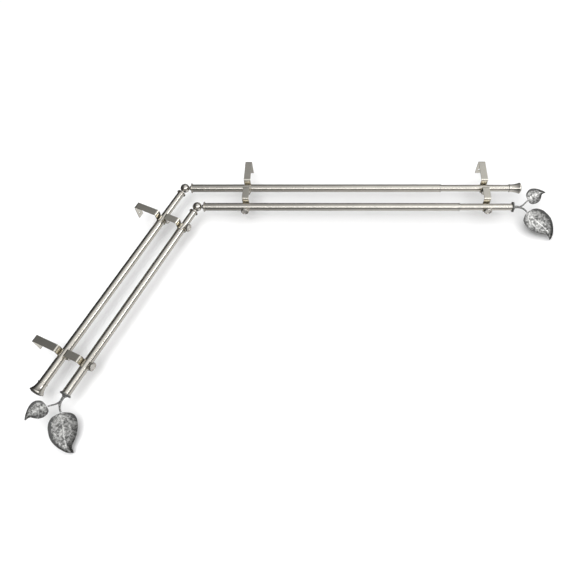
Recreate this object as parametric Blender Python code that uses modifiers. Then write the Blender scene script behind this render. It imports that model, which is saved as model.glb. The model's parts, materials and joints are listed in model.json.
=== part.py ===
"""Double corner curtain rod set: two parallel telescoping rods that turn a bay-window corner.

Units are metres and +Z is up. The origin is the middle of the rear face of the right inner
bracket's wall plate. The right wing runs along +X with its wall at +Y, and the left wing turns
off it at the corner elbows. Each wing is built in its own frame: X runs outwards from the back
elbow's centre along the back rod, and room_sign says on which side of the rods the room lies.
"""

import math

import bmesh
import bpy
from mathutils import Matrix, Vector

# ---------------------------------------------------------------- driving dimensions (metres)
CORNER_ANGLE = math.radians(114.0)  # between the two wings, measured on the room side
ROD_SPACING = 0.078                 # back rod's axis to front rod's axis
WALL_TO_BACK_ROD = 0.096            # wall to the back rod's axis
RIGHT_WING_LENGTH = 1.078           # back elbow's centre to the end of the right tubes
LEFT_WING_LENGTH = 0.758            # the same on the left wing

OUTER_TUBE_DIAMETER = 0.0254
OUTER_TUBE_WALL = 0.0012
INNER_TUBE_WALL = 0.0010
SLIDE_CLEARANCE = 0.0004            # all round the inner tube inside the outer one
TUBE_OVERLAP = 0.400                # length of inner tube inside the outer one as stored
RIGHT_INNER_TUBE_SHOWING = {"back": 0.227, "front": 0.173}   # from the ring to the wing's end
LEFT_RING_TO_BRACKET = {"back": 0.0022, "front": 0.0032}     # ring to the inner bracket's edge

END_RING_LENGTH = 0.0040
END_RING_LIP = 0.0003               # how far the ring stands proud of the outer tube

FIT_GAP = 0.0003                    # gap between two pieces that touch on the real object

BALL_RADIUS = 0.0150
BALL_TO_CUP_GAP = 0.0015
TONGUE_THICKNESS = BALL_RADIUS / 3
TONGUE_WIDTH = 0.640 * BALL_RADIUS
TONGUE_EYE_RADIUS = 0.433 * BALL_RADIUS
SLOT_CLEARANCE = 0.0005             # above and below the tongue
SLOT_WIDTH = 1.307 * BALL_RADIUS
PIN_RADIUS = 0.147 * BALL_RADIUS
PIN_TOP = 0.600 * BALL_RADIUS
PIN_HEAD_RADIUS = 0.240 * BALL_RADIUS
PIN_HEAD_THICKNESS = 0.107 * BALL_RADIUS
PIN_HEAD_SEAT = 0.773 * BALL_RADIUS  # depth of the head's seat below the ball's centre
FRONT_EYE_CLEARANCE = 0.0017        # the front elbow's open pivot
STUD_RADIUS = 0.267 * BALL_RADIUS
STUD_DEPTH_IN_BALL = 0.267 * BALL_RADIUS
PLUG_LENGTH = 0.0220
CUP_NECK_RADIUS = 1.75 * STUD_RADIUS
CUP_FLARE_LENGTH = 0.0060
CUP_RIM_THICKNESS = 0.0028
CUP_RIM_OVERHANG = 0.0036           # how far the rim stands out past the tube
CUP_RECESS = 0.0020                 # how deep the tube's end sits in the cup

CAP_LENGTH = {"right": 0.0420, "left": 0.0360}
CAP_FLARE_PER_DIAMETER = 1.62
CAP_PLUG_LENGTH = 0.0200
CAP_COLLAR_LENGTH = 0.0042          # the short ring next to the tube
CAP_COLLAR_LIP = 0.0018             # how far it stands proud of the tube
CAP_NECK_LIP = 0.0006
CAP_RIM_START = 0.78                # share of the cap's length
CAP_RIM_LENGTH = 0.0036
CAP_RIM_TO_DOME = 0.0030

FINIAL_FLANGE_RADIUS = 0.0165
FINIAL_FLANGE_THICKNESS = 0.0042
FINIAL_BOSS_RADIUS = 0.0068
FINIAL_BOSS_LENGTH = 0.0050
LEAF_TILT = math.radians(26.0)      # leaf plane from horizontal, room side low
LEAF_THICKNESS = 0.0020
LEAF_EDGE_LIFT = 0.105              # share of the leaf's length that its edges curl up
LEAF_DROOP = 0.16                   # how far its ends hang, as a share of length
LEAF_CROWN_AT = 0.38                # the highest point of its midrib, from base to tip
LEAF_BLUNTNESS = 0.0012             # half the width of the leaf where it is narrowest
FORK_DISTANCE = 0.0295              # from the tube's end
TWIG_RADIUS = 0.0048
BRANCH_RADIUS = 0.0026
# Base is (along the rod, towards the room) in the leaf plane. The edges are shares of the
# leaf's length, to either side of the line from base to tip, at each of LEAF_STATIONS.
LEAF_STATIONS = (0.0, .03, .08, .15, .24, .34, .45, .56, .66, .75, .82, .90, .96, 1.0)
LEAVES = {
    "small": {
        "length": 0.0620, "base": (0.0515, -0.0205), "heading": math.radians(-25.4),
        "near_edge": (.03, .17, .235, .28, .305, .312, .29, .235, .14, .035, 0, -.005, 0, 0),
        "far_edge": (.12, .29, .375, .435, .478, .495, .48, .435, .37, .298, .232, .145, .07, 0),
    },
    "large": {
        "length": 0.1130, "base": (0.0480, 0.0175), "heading": math.radians(50.3),
        "near_edge": (.02, .115, .205, .262, .288, .283, .257, .213, .155, .08, .02, -.005, 0, 0),
        "far_edge": (.1, .21, .285, .335, .372, .39, .398, .385, .35, .3, .25, .18, .1, 0),
    },
}

STRIP_THICKNESS = 0.0025
STRIP_WIDTH = 0.0220
STRIP_BEND_RADIUS = 0.0045          # to the middle of the strip
ARM_HEIGHT = 0.0260                 # top of the arm above the rods' axes
WALL_PLATE_HEIGHT = 0.0580
CRADLE_CLEARANCE = 0.0006           # between an outer tube and its cradle
LIP_ABOVE_TUBE = 0.0003             # how far the front lip reaches above the outer tube
WALL_HOLE_RADIUS = 0.0032
WALL_HOLE_DROPS = (0.018, 0.042)    # below the top of the arm
INNER_BRACKET_FROM_CORNER = {"right": 0.211, "left": 0.140}
OUTER_BRACKET_FROM_END = {"right": 0.081, "left": 0.095}

SCREW_SHANK_RADIUS = 0.0022
SCREW_HOLE_CLEARANCE = 0.0003
KNOB_RADIUS = 0.0130
KNOB_THICKNESS = 0.0080
KNOB_SHOULDER_RADIUS = 0.0050
KNOB_SHOULDER_LENGTH = 0.0012
KNOB_TO_LIP_GAP = 0.0008

ROUND_STEPS = 28                    # faces round a turned piece
SMALL_STEPS = 18

# ---------------------------------------------------------------- sizes worked out from them
OUTER_R = OUTER_TUBE_DIAMETER / 2
INNER_R = OUTER_R - OUTER_TUBE_WALL - SLIDE_CLEARANCE
CORNER_OFFSET = ROD_SPACING / math.tan(CORNER_ANGLE / 2)   # front elbow along either wing
CUP_START = BALL_RADIUS + BALL_TO_CUP_GAP
CUP_END = CUP_START + CUP_FLARE_LENGTH + CUP_RIM_THICKNESS
TUBE_START = CUP_END - CUP_RECESS
CRADLE_MID_RADIUS = OUTER_R + CRADLE_CLEARANCE + STRIP_THICKNESS / 2
LIP_OUTER_FACE = CRADLE_MID_RADIUS + STRIP_THICKNESS / 2
LIP_TOP = OUTER_R + LIP_ABOVE_TUBE
SCREW_HEIGHT = 0.55 * OUTER_R       # thumbscrew's axis above the rods' axes
PLATE_MIDDLE_HEIGHT = ARM_HEIGHT - WALL_PLATE_HEIGHT / 2
BACK_ELBOW = Vector((-INNER_BRACKET_FROM_CORNER["right"], -WALL_TO_BACK_ROD,
                     -PLATE_MIDDLE_HEIGHT))
TURN_TO_X = Matrix.Rotation(math.radians(90), 4, "Y")      # a turned piece's Z laid along X

WINGS = {
    "right": {"room_sign": -1, "turn": 0.0, "length": RIGHT_WING_LENGTH},
    "left": {"room_sign": 1, "turn": -CORNER_ANGLE, "length": LEFT_WING_LENGTH},
}


# ---------------------------------------------------------------- scene, collections, materials
def clear_scene():
    for old in list(bpy.data.objects):
        bpy.data.objects.remove(old, do_unlink=True)


def new_collection(name):
    collection = bpy.data.collections.new(name)
    bpy.context.scene.collection.children.link(collection)
    return collection


def new_material(name, colour, roughness, metallic=1.0):
    material = bpy.data.materials.new(name)
    material.use_nodes = True
    shader = material.node_tree.nodes["Principled BSDF"]
    shader.inputs["Base Color"].default_value = (*colour, 1.0)
    shader.inputs["Roughness"].default_value = roughness
    shader.inputs["Metallic"].default_value = metallic
    return material


clear_scene()
PARTS = new_collection("curtain_rod_with_brackets")
CUTTERS = new_collection("cutters")


def material_for(name, finish):
    """Each piece has a material of its own in one of the set's finishes."""
    colour, roughness = {
        "satin_nickel": ((0.62, 0.59, 0.54), 0.30),
        "polished_nickel": ((0.70, 0.67, 0.62), 0.12),
        "bracket_nickel": ((0.52, 0.49, 0.44), 0.38),
        "antique_pewter": ((0.30, 0.30, 0.29), 0.42),
        "zinc_steel": ((0.45, 0.45, 0.44), 0.45),
    }[finish]
    return new_material(f"{name}_{finish}", colour, roughness)


# ---------------------------------------------------------------- placing helpers
def wing_frame(wing):
    """An empty at the back elbow's centre whose X axis runs out along the wing."""
    frame = bpy.data.objects.new(f"{wing}_wing_frame", None)
    frame.location = BACK_ELBOW
    frame.rotation_euler = (0, 0, WINGS[wing]["turn"])
    PARTS.objects.link(frame)
    return frame


def add_piece(name, mesh, frame, matrix, finish, smooth_angle=math.radians(35)):
    mesh.materials.clear()
    mesh.materials.append(material_for(name, finish))
    mesh.shade_smooth()
    mesh.set_sharp_from_angle(angle=smooth_angle)
    piece = bpy.data.objects.new(name, mesh)
    PARTS.objects.link(piece)
    piece.parent = frame
    piece.matrix_local = matrix
    return piece


def rod_axis_point(wing, rod, distance):
    """The point of a rod's axis at a distance from the corner, in its wing's frame."""
    across = WINGS[wing]["room_sign"] * ROD_SPACING if rod == "front" else 0.0
    return Vector((distance, across, 0.0))


def elbow_distance(rod):
    return CORNER_OFFSET if rod == "front" else 0.0


def bracket_distance(wing, place):
    if place == "inner":
        return INNER_BRACKET_FROM_CORNER[wing]
    return WINGS[wing]["length"] - OUTER_BRACKET_FROM_END[wing]


# ---------------------------------------------------------------- shape helpers
def profile_mesh(name, outline, closed):
    """A mesh of edges in the XZ plane, for the Screw modifier to turn about Z."""
    mesh = bpy.data.meshes.new(name)
    edges = [(i, i + 1) for i in range(len(outline) - 1)]
    if closed:
        edges.append((len(outline) - 1, 0))
    mesh.from_pydata([(radius, 0.0, height) for radius, height in outline], edges, [])
    return mesh


def screw_modifier(piece, steps):
    screw = piece.modifiers.new("turn", "SCREW")
    screw.axis = "Z"
    screw.angle = 2 * math.pi
    screw.steps = steps
    screw.render_steps = steps
    screw.use_merge_vertices = True
    screw.merge_threshold = 0.00001
    screw.use_smooth_shade = True


def turned_piece(name, outline, frame, matrix, finish, closed=False, steps=ROUND_STEPS):
    """A turned piece: (radius, height) points, top to bottom down the outer side."""
    piece = add_piece(name, profile_mesh(name, outline, closed), frame, matrix, finish)
    screw_modifier(piece, steps)
    return piece


def arc(centre, radius, start, end, steps):
    """Points on an arc in a plane, from one angle to another (radians)."""
    angles = [start + (end - start) * i / steps for i in range(steps + 1)]
    return [(centre[0] + radius * math.cos(a), centre[1] + radius * math.sin(a)) for a in angles]


def cutter(name, mesh, frame, matrix):
    tool = bpy.data.objects.new(name, mesh)
    CUTTERS.objects.link(tool)
    tool.parent = frame
    tool.matrix_local = matrix
    tool.hide_render = True
    tool.display_type = "WIRE"
    return tool


def cylinder_mesh(name, radius, low, high, steps=SMALL_STEPS):
    mesh = bpy.data.meshes.new(name)
    bm = bmesh.new()
    bmesh.ops.create_cone(bm, cap_ends=True, segments=steps, radius1=radius, radius2=radius,
                          depth=high - low)
    bmesh.ops.translate(bm, verts=bm.verts, vec=(0, 0, (high + low) / 2))
    bm.to_mesh(mesh)
    bm.free()
    return mesh


def box_mesh(name, low, high):
    mesh = bpy.data.meshes.new(name)
    bm = bmesh.new()
    bmesh.ops.create_cube(bm, size=1.0)
    size = [b - a for a, b in zip(low, high)]
    middle = [(a + b) / 2 for a, b in zip(low, high)]
    bmesh.ops.scale(bm, verts=bm.verts, vec=size)
    bmesh.ops.translate(bm, verts=bm.verts, vec=middle)
    bm.to_mesh(mesh)
    bm.free()
    return mesh


def boolean(piece, tool, operation):
    modifier = piece.modifiers.new(tool.name, "BOOLEAN")
    modifier.operation = operation
    modifier.solver = "EXACT"
    modifier.object = tool


def curve_mesh(name, points, radii, resolution=3):
    """A tapered round bar along points, as a closed mesh with its caps welded on."""
    data = bpy.data.curves.new(name, "CURVE")
    data.dimensions = "3D"
    data.bevel_depth = 1.0
    data.bevel_resolution = resolution
    data.use_fill_caps = True
    spline = data.splines.new("POLY")
    spline.points.add(len(points) - 1)
    for point, position, radius in zip(spline.points, points, radii):
        point.co = (*position, 1.0)
        point.radius = radius
    bar = bpy.data.objects.new(name, data)
    bpy.context.scene.collection.objects.link(bar)
    graph = bpy.context.evaluated_depsgraph_get()
    mesh = bpy.data.meshes.new_from_object(bar.evaluated_get(graph))
    bpy.data.objects.remove(bar)
    bpy.data.curves.remove(data)
    bm = bmesh.new()
    bm.from_mesh(mesh)
    bmesh.ops.remove_doubles(bm, verts=bm.verts, dist=0.00001)
    bmesh.ops.recalc_face_normals(bm, faces=bm.faces)
    bm.to_mesh(mesh)
    bm.free()
    return mesh


# ---------------------------------------------------------------- tubes and their end rings
def tube(name, radius, wall, start, end, wing, rod, frame):
    length = end - start
    outline = [(radius, length), (radius, 0.0), (radius - wall, 0.0), (radius - wall, length)]
    matrix = Matrix.Translation(rod_axis_point(wing, rod, start)) @ TURN_TO_X
    turned_piece(name, outline, frame, matrix, "satin_nickel", closed=True)


def end_ring(name, start, wing, rod, frame):
    """The bright ring that closes the outer tube's open end round the inner tube."""
    outer = OUTER_R + END_RING_LIP
    bore = INNER_R + FIT_GAP
    outline = [(outer, END_RING_LENGTH), (outer, 0.0), (bore, 0.0), (bore, END_RING_LENGTH)]
    matrix = Matrix.Translation(rod_axis_point(wing, rod, start)) @ TURN_TO_X
    turned_piece(name, outline, frame, matrix, "polished_nickel", closed=True)


def right_tubes(rod, frame):
    """The right wing's outer tube leaves the elbow and its inner tube carries the end piece."""
    start = elbow_distance(rod) + TUBE_START
    ring_start = RIGHT_WING_LENGTH - RIGHT_INNER_TUBE_SHOWING[rod]
    tube(f"right_{rod}_outer_tube", OUTER_R, OUTER_TUBE_WALL, start, ring_start, "right", rod,
         frame)
    end_ring(f"right_{rod}_end_ring", ring_start + FIT_GAP, "right", rod, frame)
    tube(f"right_{rod}_inner_tube", INNER_R, INNER_TUBE_WALL, ring_start - TUBE_OVERLAP,
         RIGHT_WING_LENGTH, "right", rod, frame)


def left_tubes(rod, frame):
    """The left wing's inner tube leaves the elbow and its outer tube carries the end piece."""
    start = elbow_distance(rod) + TUBE_START
    ring_start = bracket_distance("left", "inner") + STRIP_WIDTH / 2 + LEFT_RING_TO_BRACKET[rod]
    outer_start = ring_start + END_RING_LENGTH + FIT_GAP
    tube(f"left_{rod}_inner_tube", INNER_R, INNER_TUBE_WALL, start, outer_start + TUBE_OVERLAP,
         "left", rod, frame)
    end_ring(f"left_{rod}_end_ring", ring_start, "left", rod, frame)
    tube(f"left_{rod}_outer_tube", OUTER_R, OUTER_TUBE_WALL, outer_start, LEFT_WING_LENGTH,
         "left", rod, frame)


# ---------------------------------------------------------------- corner elbows
def plug_radius(wing):
    if wing == "right":
        return OUTER_R - OUTER_TUBE_WALL - FIT_GAP
    return INNER_R - INNER_TUBE_WALL - FIT_GAP


def stud_outline(wing, shaft_start):
    """The stud's round shaft and the plug on which the tube is pushed, along +Z."""
    plug_start = TUBE_START + FIT_GAP
    plug = plug_radius(wing)
    chamfer = STUD_RADIUS / 4
    return [
        (0.0, plug_start + PLUG_LENGTH),
        (plug - chamfer, plug_start + PLUG_LENGTH),
        (plug, plug_start + PLUG_LENGTH - chamfer),
        (plug, plug_start),
        (STUD_RADIUS, plug_start),
        (STUD_RADIUS, shaft_start),
        (0.0, shaft_start),
    ]


def elbow_cup(name, wing, rod, tube_radius, frame):
    """The flared cup that covers the tube's end next to the ball."""
    rim_radius = tube_radius + CUP_RIM_OVERHANG
    rim_corner = CUP_RIM_THICKNESS / 4
    flare_end = CUP_START + CUP_FLARE_LENGTH
    flare_steps = 4
    flare_rise = rim_radius - CUP_NECK_RADIUS - rim_corner
    flare = []
    for i in range(flare_steps + 1):
        turn = math.pi / 2 * i / flare_steps
        height = flare_end - CUP_FLARE_LENGTH * math.sin(turn)
        flare.append((CUP_NECK_RADIUS + flare_rise * (1 - math.sin(turn)) ** 1.5, height))
    recess_floor = CUP_END - CUP_RECESS - FIT_GAP
    outline = [
        (rim_radius - rim_corner, CUP_END),
        (rim_radius, CUP_END - rim_corner),
        (rim_radius, flare_end + rim_corner),
        *flare,
        (STUD_RADIUS + FIT_GAP, CUP_START),
        (STUD_RADIUS + FIT_GAP, recess_floor),
        (tube_radius + FIT_GAP, recess_floor),
        (tube_radius + FIT_GAP, CUP_END),
    ]
    matrix = Matrix.Translation(rod_axis_point(wing, rod, elbow_distance(rod))) @ TURN_TO_X
    turned_piece(name, outline, frame, matrix, "polished_nickel", closed=True)


def elbow_ball(rod, frames):
    """The ball, slotted on the left wing's side for the swinging tongue."""
    centre = Matrix.Translation(rod_axis_point("right", rod, elbow_distance(rod)))
    mesh = bpy.data.meshes.new(f"{rod}_elbow_ball")
    bm = bmesh.new()
    bmesh.ops.create_uvsphere(bm, u_segments=28, v_segments=14, radius=BALL_RADIUS)
    bm.to_mesh(mesh)
    bm.free()
    ball = add_piece(f"{rod}_elbow_ball", mesh, frames["right"], centre, "polished_nickel")

    half_slot = TONGUE_THICKNESS / 2 + SLOT_CLEARANCE
    left_centre = Matrix.Translation(rod_axis_point("left", rod, elbow_distance(rod)))
    slot = cutter(f"{rod}_slot", box_mesh("slot", (0.0, -SLOT_WIDTH / 2, -half_slot),
                                          (2 * BALL_RADIUS, SLOT_WIDTH / 2, half_slot)),
                  frames["left"], left_centre)
    slot_end = cutter(f"{rod}_slot_end",
                      cylinder_mesh("slot_end", SLOT_WIDTH / 2, -half_slot, half_slot),
                      frames["left"], left_centre)
    boolean(slot_end, slot, "UNION")
    boolean(ball, slot_end, "DIFFERENCE")

    stud_hole = cutter(f"{rod}_stud_hole",
                       cylinder_mesh("stud_hole", STUD_RADIUS + FIT_GAP,
                                     BALL_RADIUS - STUD_DEPTH_IN_BALL, 2 * BALL_RADIUS),
                       frames["right"], centre @ TURN_TO_X)
    boolean(ball, stud_hole, "DIFFERENCE")

    pin_hole = cutter(f"{rod}_pin_hole",
                      cylinder_mesh("pin_hole", PIN_RADIUS + FIT_GAP, -2 * BALL_RADIUS,
                                    PIN_TOP + FIT_GAP),
                      frames["right"], centre)
    boolean(ball, pin_hole, "DIFFERENCE")
    head_hole = cutter(f"{rod}_pin_head_hole",
                       cylinder_mesh("pin_head_hole", PIN_HEAD_RADIUS + FIT_GAP,
                                     -2 * BALL_RADIUS, -PIN_HEAD_SEAT),
                       frames["right"], centre)
    boolean(ball, head_hole, "DIFFERENCE")


def elbow_pin(rod, frame):
    """The screw that enters the ball from below and is the left tongue's hinge pin."""
    head_top = -PIN_HEAD_SEAT - FIT_GAP
    outline = [
        (0.0, PIN_TOP),
        (PIN_RADIUS, PIN_TOP),
        (PIN_RADIUS, head_top),
        (PIN_HEAD_RADIUS, head_top),
        (PIN_HEAD_RADIUS, head_top - PIN_HEAD_THICKNESS),
        (0.0, head_top - PIN_HEAD_THICKNESS),
    ]
    centre = Matrix.Translation(rod_axis_point("right", rod, elbow_distance(rod)))
    turned_piece(f"{rod}_elbow_pin", outline, frame, centre, "zinc_steel", steps=SMALL_STEPS)


def right_stud(rod, frame):
    """The fixed stud, screwed into the ball, that carries the right tube."""
    matrix = Matrix.Translation(rod_axis_point("right", rod, elbow_distance(rod))) @ TURN_TO_X
    shaft_start = BALL_RADIUS - STUD_DEPTH_IN_BALL + FIT_GAP
    turned_piece(f"{rod}_elbow_right_stud", stud_outline("right", shaft_start), frame, matrix,
                 "zinc_steel")


def left_tongue(rod, frame):
    """The swinging tongue: a flat eye round the pin that becomes a round stud and plug."""
    matrix = Matrix.Translation(rod_axis_point("left", rod, elbow_distance(rod)))
    bar_end = CUP_START - FIT_GAP
    half = TONGUE_THICKNESS / 2
    name = f"{rod}_elbow_left_tongue"
    tongue = add_piece(name, cylinder_mesh(name, TONGUE_EYE_RADIUS, -half, half), frame, matrix,
                       "zinc_steel")
    bar = cutter(f"{rod}_tongue_bar", box_mesh("tongue_bar", (0.0, -TONGUE_WIDTH / 2, -half),
                                               (bar_end, TONGUE_WIDTH / 2, half)), frame, matrix)
    boolean(tongue, bar, "UNION")
    shaft_start = bar_end - STUD_RADIUS
    stud = cutter(f"{rod}_tongue_stud",
                  profile_mesh("tongue_stud", stud_outline("left", shaft_start), False),
                  frame, matrix @ TURN_TO_X)
    screw_modifier(stud, ROUND_STEPS)
    trim = cutter(f"{rod}_tongue_trim",
                  box_mesh("tongue_trim", (-PLUG_LENGTH, -PLUG_LENGTH, -PLUG_LENGTH),
                           (PLUG_LENGTH, PLUG_LENGTH, bar_end - FIT_GAP)),
                  frame, matrix @ TURN_TO_X)
    boolean(stud, trim, "DIFFERENCE")
    boolean(tongue, stud, "UNION")
    clearance = FRONT_EYE_CLEARANCE if rod == "front" else FIT_GAP
    hole = cutter(f"{rod}_tongue_hole",
                  cylinder_mesh("tongue_hole", PIN_RADIUS + clearance, -2 * half, 2 * half),
                  frame, matrix)
    boolean(tongue, hole, "DIFFERENCE")


def elbow(rod, frames):
    elbow_ball(rod, frames)
    elbow_pin(rod, frames["right"])
    right_stud(rod, frames["right"])
    left_tongue(rod, frames["left"])
    elbow_cup(f"{rod}_elbow_right_cup", "right", rod, OUTER_R, frames["right"])
    elbow_cup(f"{rod}_elbow_left_cup", "left", rod, INNER_R, frames["left"])


# ---------------------------------------------------------------- end caps on the back rod
def end_cap(wing, tube_radius, tube_wall, frame):
    """A trumpet-shaped cap with a domed end, on a plug inside the tube."""
    length = CAP_LENGTH[wing]
    flare_radius = CAP_FLARE_PER_DIAMETER * tube_radius
    collar_radius = tube_radius + CAP_COLLAR_LIP
    neck_radius = tube_radius + CAP_NECK_LIP
    rim_start = CAP_RIM_START * length
    rim_end = rim_start + CAP_RIM_LENGTH
    rim_corner = CAP_RIM_LENGTH / 5
    dome_radius = flare_radius - CAP_RIM_TO_DOME
    plug = tube_radius - tube_wall - FIT_GAP

    dome = []
    dome_steps = 5
    for i in range(dome_steps + 1):
        turn = math.pi / 2 * i / dome_steps
        dome.append((dome_radius * math.sin(turn),
                     rim_end + (length - rim_end) * math.cos(turn)))
    flare = []
    flare_steps = 5
    for i in range(flare_steps + 1):
        rise = 1 - i / flare_steps
        flare.append((neck_radius + (flare_radius - neck_radius) * rise ** 2.2,
                      CAP_COLLAR_LENGTH + (rim_start - CAP_COLLAR_LENGTH) * rise))
    outline = [
        *dome,
        (flare_radius - rim_corner, rim_end),
        (flare_radius, rim_end - rim_corner),
        *flare,
        (collar_radius, CAP_COLLAR_LENGTH - rim_corner / 2),
        (collar_radius, FIT_GAP),
        (plug, FIT_GAP),
        (plug, -CAP_PLUG_LENGTH),
        (0.0, -CAP_PLUG_LENGTH),
    ]
    end = rod_axis_point(wing, "back", WINGS[wing]["length"])
    turned_piece(f"{wing}_end_cap", outline, frame, Matrix.Translation(end) @ TURN_TO_X,
                 "satin_nickel")


# ---------------------------------------------------------------- leaf finials on the front rod
def leaf_plane_point(wing, along, across, lift=0.0):
    """A point of the tilted leaf plane, from the tube's end; across runs towards the room."""
    sign = WINGS[wing]["room_sign"]
    return Vector((
        along,
        sign * (across * math.cos(LEAF_TILT) + lift * math.sin(LEAF_TILT)),
        -across * math.sin(LEAF_TILT) + lift * math.cos(LEAF_TILT),
    ))


def finial_collar(wing, tube_radius, tube_wall, frame):
    plug = tube_radius - tube_wall - FIT_GAP
    corner = FINIAL_FLANGE_THICKNESS / 4
    top = FINIAL_FLANGE_THICKNESS + FIT_GAP
    outline = [
        (0.0, top + FINIAL_BOSS_LENGTH),
        (FINIAL_BOSS_RADIUS * 0.85, top + FINIAL_BOSS_LENGTH),
        (FINIAL_BOSS_RADIUS, top + FINIAL_BOSS_LENGTH * 0.8),
        (FINIAL_BOSS_RADIUS * 1.1, top + FINIAL_BOSS_LENGTH * 0.3),
        (FINIAL_BOSS_RADIUS * 1.5, top),
        (FINIAL_FLANGE_RADIUS - corner, top),
        (FINIAL_FLANGE_RADIUS, top - corner),
        (FINIAL_FLANGE_RADIUS, FIT_GAP + corner),
        (FINIAL_FLANGE_RADIUS - corner, FIT_GAP),
        (plug, FIT_GAP),
        (plug, -CAP_PLUG_LENGTH),
        (0.0, -CAP_PLUG_LENGTH),
    ]
    end = rod_axis_point(wing, "front", WINGS[wing]["length"])
    turned_piece(f"{wing}_finial_collar", outline, frame, Matrix.Translation(end) @ TURN_TO_X,
                 "antique_pewter")


def finial_twig(wing, frame):
    """The forked twig: one main stem that runs on to the large leaf, and a side branch."""
    start = FIT_GAP * 2 + FINIAL_FLANGE_THICKNESS + FINIAL_BOSS_LENGTH
    large_along, large_across = LEAVES["large"]["base"]
    small_along, small_across = LEAVES["small"]["base"]
    stem_reach = large_along - FORK_DISTANCE
    side_reach = small_along - FORK_DISTANCE
    stem_route = [
        (start, 0.0, TWIG_RADIUS),
        (0.5 * (start + FORK_DISTANCE), 0.0, 0.86 * TWIG_RADIUS),
        (FORK_DISTANCE, 0.12 * large_across, 0.80 * TWIG_RADIUS),
        (FORK_DISTANCE + 0.42 * stem_reach, 0.36 * large_across, 1.15 * BRANCH_RADIUS),
        (FORK_DISTANCE + 0.78 * stem_reach, 0.68 * large_across, BRANCH_RADIUS),
        (large_along, large_across, BRANCH_RADIUS),
    ]
    side_route = [
        (0.75 * FORK_DISTANCE, 0.0, BRANCH_RADIUS),
        (1.05 * FORK_DISTANCE, 0.16 * small_across, BRANCH_RADIUS),
        (FORK_DISTANCE + 0.40 * side_reach, 0.40 * small_across, 0.95 * BRANCH_RADIUS),
        (FORK_DISTANCE + 0.72 * side_reach, 0.74 * small_across, 0.9 * BRANCH_RADIUS),
        (small_along, small_across, 0.9 * BRANCH_RADIUS),
    ]
    origin = Matrix.Translation(rod_axis_point(wing, "front", WINGS[wing]["length"]))
    meshes = []
    for route in (stem_route, side_route):
        points = [leaf_plane_point(wing, along, across) for along, across, _ in route]
        meshes.append(curve_mesh(f"{wing}_twig", points, [radius for _, _, radius in route]))
    twig = add_piece(f"{wing}_finial_twig", meshes[0], frame, origin, "antique_pewter")
    side = cutter(f"{wing}_twig_side", meshes[1], frame, origin)
    boolean(twig, side, "UNION")


def leaf(wing, size_name, frame):
    """A cupped leaf with a hooked tip: rows across the line from base to tip, then Solidify."""
    shape = LEAVES[size_name]
    columns = 6
    length = shape["length"]
    ahead = Vector((math.cos(shape["heading"]), math.sin(shape["heading"])))
    side = Vector((-ahead.y, ahead.x))
    start = Vector(shape["base"]) + ahead * BRANCH_RADIUS / 2
    mesh = bpy.data.meshes.new(f"{wing}_{size_name}_leaf")
    bm = bmesh.new()
    grid = []
    for t, near, far in zip(LEAF_STATIONS, shape["near_edge"], shape["far_edge"]):
        middle = length * (near - far) / 2
        half = max(length * (near + far) / 2, LEAF_BLUNTNESS)
        crown = -LEAF_DROOP * length * (t - LEAF_CROWN_AT) ** 2
        row = []
        for j in range(columns + 1):
            across = 2 * j / columns - 1
            curl = LEAF_EDGE_LIFT * length * (abs(across) ** 1.7 - 0.3) * min(1.0, 4 * t)
            flat = start + ahead * length * t + side * (middle + half * across)
            point = leaf_plane_point(wing, flat.x, flat.y, crown + curl)
            row.append(bm.verts.new(point))
        grid.append(row)
    for i in range(len(grid) - 1):
        for j in range(columns):
            bm.faces.new((grid[i][j], grid[i][j + 1], grid[i + 1][j + 1], grid[i + 1][j]))
    bmesh.ops.recalc_face_normals(bm, faces=bm.faces)
    bm.to_mesh(mesh)
    bm.free()
    origin = Matrix.Translation(rod_axis_point(wing, "front", WINGS[wing]["length"]))
    piece = add_piece(f"{wing}_{size_name}_leaf", mesh, frame, origin, "antique_pewter")
    shell = piece.modifiers.new("thickness", "SOLIDIFY")
    shell.thickness = LEAF_THICKNESS
    shell.offset = 0.0


def finial(wing, tube_radius, tube_wall, frame):
    finial_collar(wing, tube_radius, tube_wall, frame)
    finial_twig(wing, frame)
    for size_name in LEAVES:
        leaf(wing, size_name, frame)


# ---------------------------------------------------------------- double brackets
def strip_route():
    """The middle line of the bent strip: (distance from the wall, height), wall plate first."""
    middle = STRIP_THICKNESS / 2
    arm = ARM_HEIGHT - middle
    bend = STRIP_BEND_RADIUS
    steps = 4
    quarter = math.pi / 2
    route = [(middle, ARM_HEIGHT - WALL_PLATE_HEIGHT)]
    route += arc((middle + bend, arm - bend), bend, 2 * quarter, quarter, steps)
    for axis in (WALL_TO_BACK_ROD, WALL_TO_BACK_ROD + ROD_SPACING):
        rear = axis - CRADLE_MID_RADIUS
        front = axis + CRADLE_MID_RADIUS
        route += arc((rear - bend, arm - bend), bend, quarter, 0.0, steps)
        route += arc((axis, 0.0), CRADLE_MID_RADIUS, -2 * quarter, 0.0, 12)
        if axis == WALL_TO_BACK_ROD:
            route += arc((front + bend, arm - bend), bend, 2 * quarter, quarter, steps)
        else:
            route.append((front, LIP_TOP))
    return route


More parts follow.
